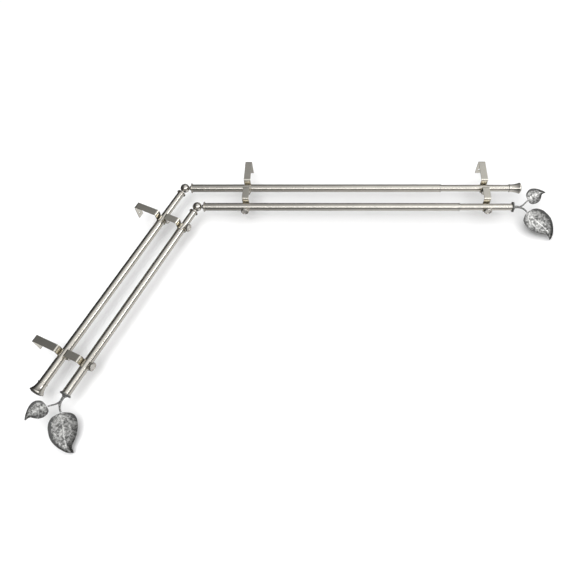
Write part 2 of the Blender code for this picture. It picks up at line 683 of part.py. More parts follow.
def bracket(wing, place, distance, frame):
    """One bent strip: wall plate, arm, back cradle, bridge, front cradle and lip."""
    sign = WINGS[wing]["room_sign"]
    turn = 0.0 if sign < 0 else math.pi
    at_wall = Matrix.Translation((distance, -sign * WALL_TO_BACK_ROD, 0.0))
    matrix = at_wall @ Matrix.Rotation(turn, 4, "Z")
    mesh = bpy.data.meshes.new(f"{wing}_{place}_bracket")
    bm = bmesh.new()
    rails = []
    for across in (-STRIP_WIDTH / 2, STRIP_WIDTH / 2):
        rails.append([bm.verts.new((across, -out, height)) for out, height in strip_route()])
    for i in range(len(rails[0]) - 1):
        bm.faces.new((rails[0][i], rails[1][i], rails[1][i + 1], rails[0][i + 1]))
    bm.to_mesh(mesh)
    bm.free()
    piece = add_piece(f"{wing}_{place}_bracket", mesh, frame, matrix, "bracket_nickel")
    shell = piece.modifiers.new("strip_thickness", "SOLIDIFY")
    shell.thickness = STRIP_THICKNESS
    shell.offset = 0.0
    shell.use_even_offset = True

    lay_along_y = Matrix.Rotation(math.radians(90), 4, "X")
    for number, drop in enumerate(WALL_HOLE_DROPS):
        hole = cutter(f"{wing}_{place}_wall_hole_{number}",
                      cylinder_mesh("wall_hole", WALL_HOLE_RADIUS, -STRIP_THICKNESS,
                                    2 * STRIP_THICKNESS),
                      frame, matrix @ Matrix.Translation((0, 0, ARM_HEIGHT - drop)) @ lay_along_y)
        boolean(piece, hole, "DIFFERENCE")
    screw_hole_radius = SCREW_SHANK_RADIUS + SCREW_HOLE_CLEARANCE
    for rod, axis in (("back", WALL_TO_BACK_ROD), ("front", WALL_TO_BACK_ROD + ROD_SPACING)):
        wall_middle = axis + CRADLE_MID_RADIUS
        hole = cutter(f"{wing}_{place}_{rod}_screw_hole",
                      cylinder_mesh("screw_hole", screw_hole_radius, wall_middle - STRIP_THICKNESS,
                                    wall_middle + STRIP_THICKNESS),
                      frame, matrix @ Matrix.Translation((0, 0, SCREW_HEIGHT)) @ lay_along_y)
        boolean(piece, hole, "DIFFERENCE")


def thumbscrew(wing, place, rod, distance, tube_radius, frame):
    """A round-headed thumbscrew through the cradle's wall, its tip just clear of the tube."""
    lowest_tip = SCREW_HEIGHT - SCREW_SHANK_RADIUS
    tip_on_inner = math.sqrt(INNER_R ** 2 - lowest_tip ** 2) + FIT_GAP
    tip_here = math.sqrt(tube_radius ** 2 - lowest_tip ** 2) + FIT_GAP
    head = LIP_OUTER_FACE + KNOB_TO_LIP_GAP - tip_on_inner
    dish = KNOB_RADIUS * 0.62
    top = head + KNOB_SHOULDER_LENGTH + KNOB_THICKNESS
    edge = KNOB_THICKNESS / 5
    outline = [
        (0.0, top - edge),
        (dish, top - edge),
        (dish + edge * 0.7, top),
        (KNOB_RADIUS - edge, top),
        (KNOB_RADIUS, top - edge),
        (KNOB_RADIUS, head + KNOB_SHOULDER_LENGTH),
        (KNOB_SHOULDER_RADIUS, head + KNOB_SHOULDER_LENGTH),
        (KNOB_SHOULDER_RADIUS, head),
        (SCREW_SHANK_RADIUS, head),
        (SCREW_SHANK_RADIUS, 0.0),
        (0.0, 0.0),
    ]
    sign = WINGS[wing]["room_sign"]
    tip = rod_axis_point(wing, rod, distance) + Vector((0.0, sign * tip_here, SCREW_HEIGHT))
    to_room = Matrix.Rotation(-sign * math.radians(90), 4, "X")
    turned_piece(f"{wing}_{place}_{rod}_thumbscrew", outline, frame,
                 Matrix.Translation(tip) @ to_room, "polished_nickel", steps=SMALL_STEPS)


def tube_radius_in_cradle(wing, place):
    """The right outer and the left inner brackets hold the inner tubes."""
    return INNER_R if (wing, place) in (("right", "outer"), ("left", "inner")) else OUTER_R


# ---------------------------------------------------------------- the whole set
def build():
    frames = {wing: wing_frame(wing) for wing in WINGS}
    bpy.context.view_layer.update()
    for rod in ("back", "front"):
        right_tubes(rod, frames["right"])
        left_tubes(rod, frames["left"])
        elbow(rod, frames)
    end_cap("right", INNER_R, INNER_TUBE_WALL, frames["right"])
    end_cap("left", OUTER_R, OUTER_TUBE_WALL, frames["left"])
    finial("right", INNER_R, INNER_TUBE_WALL, frames["right"])
    finial("left", OUTER_R, OUTER_TUBE_WALL, frames["left"])
    for wing in WINGS:
        for place in ("inner", "outer"):
            distance = bracket_distance(wing, place)
            bracket(wing, place, distance, frames[wing])
            for rod in ("back", "front"):
                thumbscrew(wing, place, rod, distance, tube_radius_in_cradle(wing, place),
                           frames[wing])


build()
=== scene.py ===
# %% [markdown]
# # Double corner curtain rod set
#
# Two parallel curtain rods run along one wall, turn a bay-window corner at a pair of ball
# elbows and run on along the next wall. Each straight run is a thin tube sliding in a thicker
# one. The back rod ends in trumpet-shaped caps and the front rod in twigs with two cast leaves.
# Four brackets, each bent from one steel strip, carry both rods, and a thumbscrew in every
# cradle holds the tube still.
#
# The working model has the joints and the sizes. This lesson dresses it: every piece is made
# again with finer geometry in exactly the same place, and gets a metal finish made of nodes.

# %% Load the working model
import json
import math

import bmesh
import bpy
import numpy as np
from mathutils import Matrix, Vector, noise

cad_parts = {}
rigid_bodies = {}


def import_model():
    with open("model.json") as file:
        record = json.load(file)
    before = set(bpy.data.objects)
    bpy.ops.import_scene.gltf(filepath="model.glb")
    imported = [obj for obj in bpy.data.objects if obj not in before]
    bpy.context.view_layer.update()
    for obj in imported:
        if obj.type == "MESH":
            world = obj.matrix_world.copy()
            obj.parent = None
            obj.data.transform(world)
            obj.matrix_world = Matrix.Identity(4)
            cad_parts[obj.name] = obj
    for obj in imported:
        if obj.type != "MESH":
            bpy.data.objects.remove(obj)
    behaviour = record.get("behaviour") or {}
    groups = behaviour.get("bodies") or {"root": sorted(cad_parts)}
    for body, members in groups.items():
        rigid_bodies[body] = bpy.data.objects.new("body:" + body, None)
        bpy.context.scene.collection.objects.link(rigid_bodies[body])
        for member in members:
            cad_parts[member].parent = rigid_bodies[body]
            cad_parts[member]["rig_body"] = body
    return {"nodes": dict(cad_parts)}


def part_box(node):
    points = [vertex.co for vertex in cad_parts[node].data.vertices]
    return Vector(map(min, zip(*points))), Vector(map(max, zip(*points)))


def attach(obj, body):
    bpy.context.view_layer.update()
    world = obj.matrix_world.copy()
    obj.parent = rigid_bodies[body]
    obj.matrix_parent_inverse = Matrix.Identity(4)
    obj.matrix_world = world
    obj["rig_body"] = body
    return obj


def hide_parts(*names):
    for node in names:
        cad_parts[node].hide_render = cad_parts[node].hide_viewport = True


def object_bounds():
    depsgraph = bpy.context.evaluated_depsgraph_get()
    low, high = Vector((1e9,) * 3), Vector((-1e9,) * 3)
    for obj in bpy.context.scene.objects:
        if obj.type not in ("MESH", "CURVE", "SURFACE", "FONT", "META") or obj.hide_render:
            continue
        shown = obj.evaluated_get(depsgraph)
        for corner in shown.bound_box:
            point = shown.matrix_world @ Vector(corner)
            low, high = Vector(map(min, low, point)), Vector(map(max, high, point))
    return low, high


for leftover in list(bpy.data.objects):
    bpy.data.objects.remove(leftover, do_unlink=True)
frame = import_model()
working_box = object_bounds()
print("pieces in the working model:", len(frame["nodes"]))

# %% [markdown]
# ## Where everything is
#
# A maker would lay a new part against the old one and mark it off. The same is done here: the
# places of the elbows, the directions of the two wings and each turned piece's length and
# radii are measured on the working model, so nothing has to be typed twice or fitted by eye.

# %% Measure the two wings
UP = Vector((0.0, 0.0, 1.0))


def middle(node):
    low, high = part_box(node)
    return (low + high) / 2


def elbow_centre(rod):
    """The upright pin gives the ball's place in plan, and the tube gives its height."""
    pin = middle(f"{rod}_elbow_pin")
    return Vector((pin.x, pin.y, middle(f"right_{rod}_outer_tube").z))


WINGS = {}
for wing, tube in (("right", "outer"), ("left", "inner")):
    corner = elbow_centre("back")
    along = (middle(f"{wing}_back_{tube}_tube") - corner).normalized()
    beside = UP.cross(along)
    to_front = middle(f"{wing}_front_{tube}_tube") - corner
    spacing = to_front.dot(beside)
    axes = Matrix((along, beside, UP)).transposed().to_4x4()
    WINGS[wing] = {"axes": Matrix.Translation(corner) @ axes, "spacing": spacing,
                   "room": math.copysign(1.0, spacing)}
    print(wing, "wing runs along", tuple(round(c, 3) for c in along),
          "and its rods are", round(abs(spacing) * 1000, 1), "mm apart")

# %% Measure a piece along its rod
def in_wing(wing, node):
    """The node's points as (along the back rod, beside it, up) from the back elbow."""
    to_wing = WINGS[wing]["axes"].inverted()
    return np.array([to_wing @ v.co for v in frame["nodes"][node].data.vertices])


def about_rod(wing, rod, node):
    """Each point's distance along the rod from the corner, and from the rod's axis."""
    points = in_wing(wing, node)
    side = WINGS[wing]["spacing"] if rod == "front" else 0.0
    return points[:, 0], np.hypot(points[:, 1] - side, points[:, 2])


def measure_turned(wing, rod, node):
    """Start, end, smallest and largest radius of a piece that is turned about its rod."""
    along, radii = about_rod(wing, rod, node)
    return along.min(), along.max(), radii.min(), radii.max()


def on_rod(wing, rod, distance):
    """The frame of a piece on a rod, its X axis pointing away from the corner."""
    side = WINGS[wing]["spacing"] if rod == "front" else 0.0
    return WINGS[wing]["axes"] @ Matrix.Translation((distance, side, 0.0))


OUTER_RADIUS = measure_turned("right", "back", "right_back_outer_tube")[3]
INNER_RADIUS = measure_turned("right", "back", "right_back_inner_tube")[3]
BALL_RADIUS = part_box("back_elbow_ball")[1].z - elbow_centre("back").z
print("tube radii", round(OUTER_RADIUS * 1000, 2), round(INNER_RADIUS * 1000, 2),
      "mm, ball radius", round(BALL_RADIUS * 1000, 2), "mm")

# %% [markdown]
# ## Effects shared by the finishes
#
# The five finishes are all metals, and what tells them apart is small: the direction of the
# polishing lines, how evenly they reflect, and where handling has dulled or brightened them.
# Each such effect is a node group with named sockets, so a finish is a short recipe that
# places the groups and sets its own amounts. A picture of scratches could do the same, but it
# would repeat and blur, and these lines stay sharp at any distance.

# %% A short way to place nodes
def feed(tree, socket, value):
    """Links the value to the socket if it is a socket itself, and otherwise sets it."""
    if isinstance(value, bpy.types.NodeSocket):
        tree.links.new(value, socket)
    else:
        socket.default_value = value


def place(tree, kind, at=(0, 0), settings=None, **inputs):
    """Adds a node. Inputs are given by name and are either values or sockets to link."""
    node = tree.nodes.new(kind)
    node.location = at
    for key, value in (settings or {}).items():
        setattr(node, key, value)
    for name, value in inputs.items():
        socket = next(s for s in node.inputs
                      if s.enabled and s.name.replace(" ", "_").lower() == name)
        feed(tree, socket, value)
    return node


def maths(tree, operation, first, second=0.0, clamp=False):
    node = tree.nodes.new("ShaderNodeMath")
    node.operation = operation
    node.use_clamp = clamp
    for socket, value in zip(node.inputs, (first, second)):
        feed(tree, socket, value)
    return node.outputs[0]


def new_group(name, inputs, outputs):
    """An empty group with its sockets: inputs are (name, kind, usual value)."""
    group = bpy.data.node_groups.new(name, "ShaderNodeTree")
    for label, kind, usual in inputs:
        socket = group.interface.new_socket(label, in_out="INPUT", socket_type=kind)
        if usual is not None:
            socket.default_value = usual
    for label, kind in outputs:
        group.interface.new_socket(label, in_out="OUTPUT", socket_type=kind)
    start = place(group, "NodeGroupInput", (-900, 0))
    end = place(group, "NodeGroupOutput", (500, 0))
    return group, start, end


FLOAT, VECTOR = "NodeSocketFloat", "NodeSocketVector"

# %% [markdown]
# ### Polishing lines
#
# Tubes and strips are brushed lengthwise, so their lines are long and very narrow. It is
# noise, stretched along the piece. On a turned piece the lines run round it, because the tool
# stays still while the metal spins, so there the noise only knows the distance along the axis
# and the distance from it.

# %% Group: lengthwise lines
lengthwise_lines, start, end = new_group(
    "lengthwise_lines",
    [("Vector", VECTOR, None), ("Along", FLOAT, 6.0), ("Across", FLOAT, 2600.0)],
    [("Value", FLOAT)])
scale = place(lengthwise_lines, "ShaderNodeCombineXYZ", (-700, -100), x=start.outputs["Along"],
              y=start.outputs["Across"], z=start.outputs["Across"])
stretched = place(lengthwise_lines, "ShaderNodeVectorMath", (-500, 0), {"operation": "MULTIPLY"})
lengthwise_lines.links.new(start.outputs["Vector"], stretched.inputs[0])
lengthwise_lines.links.new(scale.outputs[0], stretched.inputs[1])
lines = place(lengthwise_lines, "ShaderNodeTexNoise", (-300, 0), vector=stretched.outputs[0],
              scale=1.0, detail=3.0, roughness=0.65)
spread = place(lengthwise_lines, "ShaderNodeMapRange", (-100, 0), value=lines.outputs[0],
               from_min=0.3, from_max=0.7)
lengthwise_lines.links.new(spread.outputs[0], end.inputs["Value"])

# %% Group: turning marks
turning_marks, start, end = new_group(
    "turning_marks", [("Vector", VECTOR, None), ("Fineness", FLOAT, 2400.0)],
    [("Value", FLOAT)])
parts = place(turning_marks, "ShaderNodeSeparateXYZ", (-720, 0), vector=start.outputs["Vector"])
square_y = maths(turning_marks, "MULTIPLY", parts.outputs[1], parts.outputs[1])
square_z = maths(turning_marks, "MULTIPLY", parts.outputs[2], parts.outputs[2])
radius = maths(turning_marks, "SQRT", maths(turning_marks, "ADD", square_y, square_z))
fine = start.outputs["Fineness"]
place_on_tool = place(turning_marks, "ShaderNodeCombineXYZ", (-300, 0),
                      x=maths(turning_marks, "MULTIPLY", parts.outputs[0], fine),
                      y=maths(turning_marks, "MULTIPLY", radius, fine))
marks = place(turning_marks, "ShaderNodeTexNoise", (-100, 0), vector=place_on_tool.outputs[0],
              scale=1.0, detail=2.0, roughness=0.6)
spread = place(turning_marks, "ShaderNodeMapRange", (100, 0), value=marks.outputs[0],
               from_min=0.3, from_max=0.7)
turning_marks.links.new(spread.outputs[0], end.inputs["Value"])

# %% [markdown]
# ### Handling, edges and dust
#
# Fingers leave patches where the reflection is a little softer. Corners that rub against
# rings and boxes are a little brighter. A trace of dust settles on what faces up. These three
# are kept faint, because the set is new.

# %% Group: handling patches
handling, start, end = new_group(
    "handling", [("Vector", VECTOR, None), ("Size", FLOAT, 22.0)], [("Patches", FLOAT)])
broad = place(handling, "ShaderNodeTexNoise", (-500, 100), vector=start.outputs["Vector"],
              scale=start.outputs["Size"], detail=1.0, roughness=0.5)
small = place(handling, "ShaderNodeTexNoise", (-500, -200), vector=start.outputs["Vector"],
              scale=maths(handling, "MULTIPLY", start.outputs["Size"], 9.0), detail=2.0)
both = maths(handling, "ADD", maths(handling, "MULTIPLY", broad.outputs[0], 0.9),
             maths(handling, "MULTIPLY", small.outputs[0], 0.1))
spread = place(handling, "ShaderNodeMapRange", (100, 0), value=both, from_min=0.35,
               from_max=0.68)
handling.links.new(spread.outputs[0], end.inputs["Patches"])

# %% Group: rubbed edges
rubbed_edges, start, end = new_group(
    "rubbed_edges", [("Vector", VECTOR, None), ("Start", FLOAT, 0.56), ("Full", FLOAT, 0.66)],
    [("Mask", FLOAT)])
shape = place(rubbed_edges, "ShaderNodeNewGeometry", (-700, 0))
breakup = place(rubbed_edges, "ShaderNodeTexNoise", (-700, -300), vector=start.outputs["Vector"],
                scale=700.0, detail=2.0)
corner_mask = place(rubbed_edges, "ShaderNodeMapRange", (-300, 0),
                    value=shape.outputs["Pointiness"], from_min=start.outputs["Start"],
                    from_max=start.outputs["Full"])
broken = maths(rubbed_edges, "MULTIPLY", corner_mask.outputs[0],
               maths(rubbed_edges, "ADD", breakup.outputs[0], 0.35), clamp=True)
rubbed_edges.links.new(broken, end.inputs["Mask"])

# %% Group: settled dust
settled_dust, start, end = new_group(
    "settled_dust", [("Vector", VECTOR, None), ("Amount", FLOAT, 0.1)], [("Mask", FLOAT)])
shape = place(settled_dust, "ShaderNodeNewGeometry", (-700, 0))
facing = place(settled_dust, "ShaderNodeSeparateXYZ", (-500, 0), vector=shape.outputs["Normal"])
upward = place(settled_dust, "ShaderNodeMapRange", (-300, 0), value=facing.outputs[2],
               from_min=0.55, from_max=1.0)
specks = place(settled_dust, "ShaderNodeTexNoise", (-500, -300), vector=start.outputs["Vector"],
               scale=900.0, detail=3.0, roughness=0.6)
thick = place(settled_dust, "ShaderNodeMapRange", (-300, -300), value=specks.outputs[0],
              from_min=0.42, from_max=0.75)
dusty = maths(settled_dust, "MULTIPLY", upward.outputs[0], thick.outputs[0])
settled_dust.links.new(maths(settled_dust, "MULTIPLY", dusty, start.outputs["Amount"]),
                       end.inputs["Mask"])
print("effect groups:", [g.name for g in bpy.data.node_groups])

# %% [markdown]
# ## The five finishes
#
# Satin nickel is the plated, softly brushed finish of the tubes and caps. The balls, cups,
# rings and thumbscrews are the same plating polished bright. The bracket strips are plated
# without much polishing, so they look flatter and greyer. The leaves are zinc castings with an
# antique pewter wash: black in the hollows, rubbed back to bare metal on the veins. The pins
# and studs inside the elbows are plain zinc-plated steel.
#
# All five are fully metallic, so nearly everything comes from roughness and reflection. The
# colour only carries nickel's faint warmth.

# %% A metal with lines, patches, worn edges and dust
def start_metal(name, slot):
    """A fully metallic material that remembers which of the record's finishes it is."""
    material = bpy.data.materials.new(f"finish_{name}")
    material["slot"] = slot
    material.use_nodes = True
    tree = material.node_tree
    shader = tree.nodes["Principled BSDF"]
    shader.inputs["Metallic"].default_value = 1.0
    return material, tree, shader


def use_group(tree, group, at, **inputs):
    return place(tree, "ShaderNodeGroup", at, {"node_tree": group}, **inputs)


def blend_colours(tree, factor, first, second, at=(0, 0)):
    node = tree.nodes.new("ShaderNodeMix")
    node.data_type = "RGBA"
    node.location = at
    for socket, value in zip((node.inputs[0], *node.inputs[6:8]), (factor, first, second)):
        feed(tree, socket, (*value, 1.0) if isinstance(value, tuple) else value)
    return node.outputs[2]


def nickel(name, slot, colour, worn, roughness, line_group, line_depth, dust=0.02,
           on_strip=False, **line_sizes):
    """A plated finish. line_depth is in metres, and roughness is (patch low, patch high)."""
    material, tree, shader = start_metal(name, slot)
    where = place(tree, "ShaderNodeTexCoord", (-1300, 0))
    vector = where.outputs["Object"]
    if on_strip:
        vector = place(tree, "ShaderNodeUVMap", (-1300, -200), {"uv_map": "strip"}).outputs[0]
    lines = use_group(tree, line_group, (-1000, 200), vector=vector, **line_sizes)
    patches = use_group(tree, handling, (-1000, 0), vector=where.outputs["Object"])
    edges = use_group(tree, rubbed_edges, (-1000, -200), vector=where.outputs["Object"])
    dusty = use_group(tree, settled_dust, (-1000, -400), vector=where.outputs["Object"],
                      amount=dust)
    tone = blend_colours(tree, patches.outputs[0], tuple(0.94 * c for c in colour), colour)
    tone = blend_colours(tree, maths(tree, "MULTIPLY", edges.outputs[0], 0.6), tone, worn)
    tone = blend_colours(tree, dusty.outputs[0], tone, (0.42, 0.40, 0.37))
    tree.links.new(tone, shader.inputs["Base Color"])
    base = place(tree, "ShaderNodeMapRange", (-600, -100), value=patches.outputs[0],
                 to_min=roughness[0], to_max=roughness[1])
    lined = maths(tree, "ADD", base.outputs[0],
                  maths(tree, "MULTIPLY", maths(tree, "SUBTRACT", lines.outputs[0], 0.5), 0.015))
    softened = maths(tree, "ADD", lined, maths(tree, "MULTIPLY", dusty.outputs[0], 1.4),
                     clamp=True)
    tree.links.new(softened, shader.inputs["Roughness"])
    bump = place(tree, "ShaderNodeBump", (-300, -400), height=lines.outputs[0], strength=0.5,
                 distance=line_depth)
    tree.links.new(bump.outputs[0], shader.inputs["Normal"])
    return material


# %% The plated finishes
WARM = (0.72, 0.69, 0.63)
WARM_WORN = (0.86, 0.83, 0.78)
satin_nickel = nickel("satin_nickel", "satin_nickel", WARM, WARM_WORN, (0.195, 0.21),
                      lengthwise_lines, 4e-7)
turned_nickel = nickel("turned_nickel", "satin_nickel", WARM, WARM_WORN, (0.13, 0.17),
                       turning_marks, 3e-7)
polished_nickel = nickel("polished_nickel", "polished_nickel", (0.72, 0.69, 0.64),
                         (0.88, 0.86, 0.82), (0.05, 0.09), turning_marks, 1e-7, dust=0.01)
bracket_nickel = nickel("bracket_nickel", "bracket_nickel", (0.82, 0.79, 0.71),
                        (0.88, 0.86, 0.80), (0.10, 0.15), lengthwise_lines, 6e-7,
                        on_strip=True, along=30.0, across=1800.0)
zinc_steel = nickel("zinc_steel", "zinc_steel", (0.50, 0.50, 0.50), (0.66, 0.66, 0.66),
                    (0.28, 0.38), turning_marks, 6e-7, fineness=1500.0)

# %% [markdown]
# ### Antique pewter
#
# The casting is dipped in a dark wash and wiped, so the colour follows the relief. The leaf
# builder stores each point's height above the hollows as "relief", with painted shade along
# the leaves' edges added in, and the finish reads it.
# Working from real height is better than noise alone, because then the veins are bright
# wherever they are really raised. Mottling breaks it up, as the wash never dries evenly.

# %% Group: wiped wash
wiped_wash, start, end = new_group(
    "wiped_wash", [("Vector", VECTOR, None), ("Relief", FLOAT, 0.5), ("Mottling", FLOAT, 0.5)],
    [("Bare", FLOAT), ("Grain", FLOAT)])
cloud = place(wiped_wash, "ShaderNodeTexNoise", (-700, 100), vector=start.outputs["Vector"],
              scale=150.0, detail=5.0, roughness=0.7, distortion=0.6)
pits = place(wiped_wash, "ShaderNodeTexVoronoi", (-700, -200), vector=start.outputs["Vector"],
             scale=900.0)
centred = maths(wiped_wash, "MULTIPLY", maths(wiped_wash, "SUBTRACT", cloud.outputs[0], 0.5),
                maths(wiped_wash, "MULTIPLY", start.outputs["Mottling"], 2.6))
bare = place(wiped_wash, "ShaderNodeMapRange", (-200, 0),
             value=maths(wiped_wash, "ADD", start.outputs["Relief"], centred), from_min=0.25,
             from_max=0.95)
grain = maths(wiped_wash, "ADD", maths(wiped_wash, "MULTIPLY", cloud.outputs[0], 0.7),
              maths(wiped_wash, "MULTIPLY", pits.outputs[0], 0.3))
wiped_wash.links.new(bare.outputs[0], end.inputs["Bare"])
wiped_wash.links.new(grain, end.inputs["Grain"])

# %% The pewter itself
antique_pewter, tree, shader = start_metal("antique_pewter", "antique_pewter")
where = place(tree, "ShaderNodeTexCoord", (-1300, 0))
relief = place(tree, "ShaderNodeAttribute", (-1300, -300), {"attribute_name": "relief"})
wash = use_group(tree, wiped_wash, (-1000, 0), vector=where.outputs["Object"],
                 relief=relief.outputs["Fac"], mottling=0.30)
edges = use_group(tree, rubbed_edges, (-1000, -300), vector=where.outputs["Object"], start=0.54,
                  full=0.66)
# On the leaves the wash's Bare output also carries painted shade along their edges, so this mix
# is partly painted shade.
bare_and_painted_shade = maths(tree, "MAXIMUM", wash.outputs["Bare"], maths(tree, "MULTIPLY", edges.outputs[0],
                                                            0.7))
tone = blend_colours(tree, bare_and_painted_shade, (0.15, 0.15, 0.147), (0.58, 0.58, 0.565))
tree.links.new(tone, shader.inputs["Base Color"])
dulled = place(tree, "ShaderNodeMapRange", (-400, -100), value=bare_and_painted_shade, to_min=0.60, to_max=0.38)
tree.links.new(dulled.outputs[0], shader.inputs["Roughness"])
bump = place(tree, "ShaderNodeBump", (-300, -400), height=wash.outputs["Grain"], strength=0.6,
             distance=0.00012)
tree.links.new(bump.outputs[0], shader.inputs["Normal"])
print("finishes:", [m.name for m in bpy.data.materials if m.use_nodes][-6:])

# %% [markdown]
# ## Turned pieces
#
# Tubes, rings, cups, caps and thumbscrews all come off a lathe or out of a drawing die, so each
# is one outline turned about an axis. The Screw modifier would do this, but turning the
# outline in a few lines of code lets a knurl ripple the radius at the same time. No edge on
# a real piece is perfectly sharp. So every corner of an outline is first replaced by a small
# arc, which is what catches the light.

# %% Save a mesh and place an object
def saved_mesh(bm, name, tidy=True):
    if tidy:
        bmesh.ops.recalc_face_normals(bm, faces=bm.faces)
    mesh = bpy.data.meshes.new(name)
    bm.to_mesh(mesh)
    bm.free()
    return mesh


def add_object(name, data, matrix=Matrix()):
    thing = bpy.data.objects.new(name, data)
    bpy.context.scene.collection.objects.link(thing)
    thing.matrix_world = matrix
    return thing


def modified_mesh(thing):
    """The object's mesh after its modifiers, as a new mesh."""
    bpy.context.view_layer.update()
    graph = bpy.context.evaluated_depsgraph_get()
    return bpy.data.meshes.new_from_object(thing.evaluated_get(graph))


# %% Soft corners for an outline
def soft_corners(points, radius, closed=False, steps=4):
    """Replaces each real corner with a smooth bend that starts at most radius away."""
    points = [Vector(p) for p in points]
    count = len(points)
    soft = []
    for i, corner in enumerate(points):
        if not closed and i in (0, count - 1):
            soft.append(corner)
            continue
        before, after = points[i - 1], points[(i + 1) % count]
        to_before, to_after = before - corner, after - corner
        if to_before.angle(to_after) > math.radians(165):
            soft.append(corner)
            continue
        first = corner + to_before.normalized() * min(radius, 0.45 * to_before.length)
        last = corner + to_after.normalized() * min(radius, 0.45 * to_after.length)
        for step in range(steps + 1):
            t = step / steps
            soft.append(first.lerp(corner, t).lerp(corner.lerp(last, t), t))
    return soft


# %% Turn an outline about X
def turned_mesh(name, outline, closed=False, steps=96, knurl=None):
    """outline is (distance, radius) points. knurl is (teeth, depth, least radius)."""
    bm = bmesh.new()
    rings = []
    for distance, radius in outline:
        if radius < 1e-6:
            rings.append([bm.verts.new((distance, 0.0, 0.0))] * steps)
            continue
        ring = []
        for i in range(steps):
            angle = 2 * math.pi * i / steps
            reach = radius
            if knurl and radius > knurl[2]:
                reach -= knurl[1] * abs(math.sin(knurl[0] * angle / 2)) ** 1.5
            ring.append(bm.verts.new((distance, reach * math.cos(angle),
                                      reach * math.sin(angle))))
        rings.append(ring)
    pairs = list(zip(rings, rings[1:] + rings[:1] if closed else rings[1:]))
    for ring, after in pairs:
        for i in range(steps):
            j = (i + 1) % steps
            corners = dict.fromkeys((ring[i], after[i], after[j], ring[j]))
            if len(corners) > 2:
                bm.faces.new(list(corners))
    return saved_mesh(bm, name)


# %% Finish a piece and put it on its body
def finish_piece(node, mesh, matrix, material, weighted=True):
    """The finished piece takes the node's place and moves with the node's body."""
    piece = add_object(f"{node}_finished", mesh, matrix)
    mesh.materials.clear()
    mesh.materials.append(material)
    mesh.shade_smooth()
    if weighted:
        weights = piece.modifiers.new("even_shading", "WEIGHTED_NORMAL")
        weights.keep_sharp = True
    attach(piece, frame["nodes"][node]["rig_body"])
    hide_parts(node)
    return piece


# %% [markdown]
# ## Tubes and end rings
#
# The tubes are drawn steel, so their cut ends keep a tiny rolled edge. Where a thick tube lets
# the thin one out, a bright ring covers the raw edge. The ring has a shallow groove so that it
# doesn't look like a plain washer.

# %% Make the tubes
def tube(node, wing, rod):
    start, end, bore, radius = measure_turned(wing, rod, node)
    outline = soft_corners([(0.0, bore), (0.0, radius), (end - start, radius),
                            (end - start, bore)], 0.0003, closed=True)
    steps = 16
    along = [(i / steps * (end - start), radius) for i in range(1, steps)]
    split = next(i for i, p in enumerate(outline) if p.x > (end - start) / 2)
    outline = outline[:split] + [Vector(p) for p in along] + outline[split:]
    finish_piece(node, turned_mesh(node, outline, closed=True), on_rod(wing, rod, start),
                 satin_nickel)


def end_ring(node, wing, rod):
    start, end, bore, radius = measure_turned(wing, rod, node)
    length = end - start
    groove = 0.00035
    outline = [(0.0, bore), (0.0, radius), (0.38 * length, radius),
               (0.44 * length, radius - groove), (0.56 * length, radius - groove),
               (0.62 * length, radius), (length, radius), (length, bore)]
    finish_piece(node, turned_mesh(node, soft_corners(outline, 0.0005, closed=True), True),
                 on_rod(wing, rod, start), polished_nickel)


for wing in WINGS:
    for rod in ("back", "front"):
        tube(f"{wing}_{rod}_outer_tube", wing, rod)
        tube(f"{wing}_{rod}_inner_tube", wing, rod)
        end_ring(f"{wing}_{rod}_end_ring", wing, rod)
print("tubes and rings done")

# %% [markdown]
# ## Corner elbows
#
# Each elbow is a polished ball between two trumpet-mouthed cups. The ball has a slot on the
# left wing's side, in which a flat tongue swings on a pin screwed up from below. A sphere made
# of quads would pinch nowhere, but the slot has to be cut exactly where the tongue swings, so
# a fine sphere is cut with the Boolean tool and its new edges are bevelled.

# %% Cutting helpers
def prism(name, outline, low, high, matrix=Matrix()):
    """A straight-sided tool with the given plan outline."""
    bm = bmesh.new()
    floor = [bm.verts.new((x, y, low)) for x, y in outline]
    top = [bm.verts.new((x, y, high)) for x, y in outline]
    bm.faces.new(floor[::-1])
    bm.faces.new(top)
    for i in range(len(outline)):
        j = (i + 1) % len(outline)
        bm.faces.new((floor[i], floor[j], top[j], top[i]))
    return add_object(name, saved_mesh(bm, name), matrix)


def circle(radius, steps=48, start=0.0, turn=2 * math.pi):
    count = steps if turn == 2 * math.pi else steps + 1
    return [(radius * math.cos(start + turn * i / steps),
             radius * math.sin(start + turn * i / steps)) for i in range(count)]


def carve(mesh, matrix, cutters, bevel=0.0):
    """The mesh after the tools have cut it and its new edges are bevelled, as a new mesh."""
    blank = add_object("blank", mesh, matrix)
    for tool in cutters:
        cut = blank.modifiers.new(tool.name, "BOOLEAN")
        cut.operation = "DIFFERENCE"
        cut.solver = "EXACT"
        cut.object = tool
    if bevel:
        soft = blank.modifiers.new("bevel", "BEVEL")
        soft.width = bevel
        soft.segments = 3
        soft.limit_method = "ANGLE"
        soft.angle_limit = math.radians(40)
    carved = modified_mesh(blank)
    for used in (blank, *cutters):
        bpy.data.objects.remove(used, do_unlink=True)
    return carved


# %% Make the balls
FIT = 0.0003   # the gap left between pieces that touch
SLOT_HALF_HEIGHT = BALL_RADIUS / 6 + 0.0005
SLOT_HALF_WIDTH = 1.307 * BALL_RADIUS / 2
STUD_RADIUS = 0.267 * BALL_RADIUS


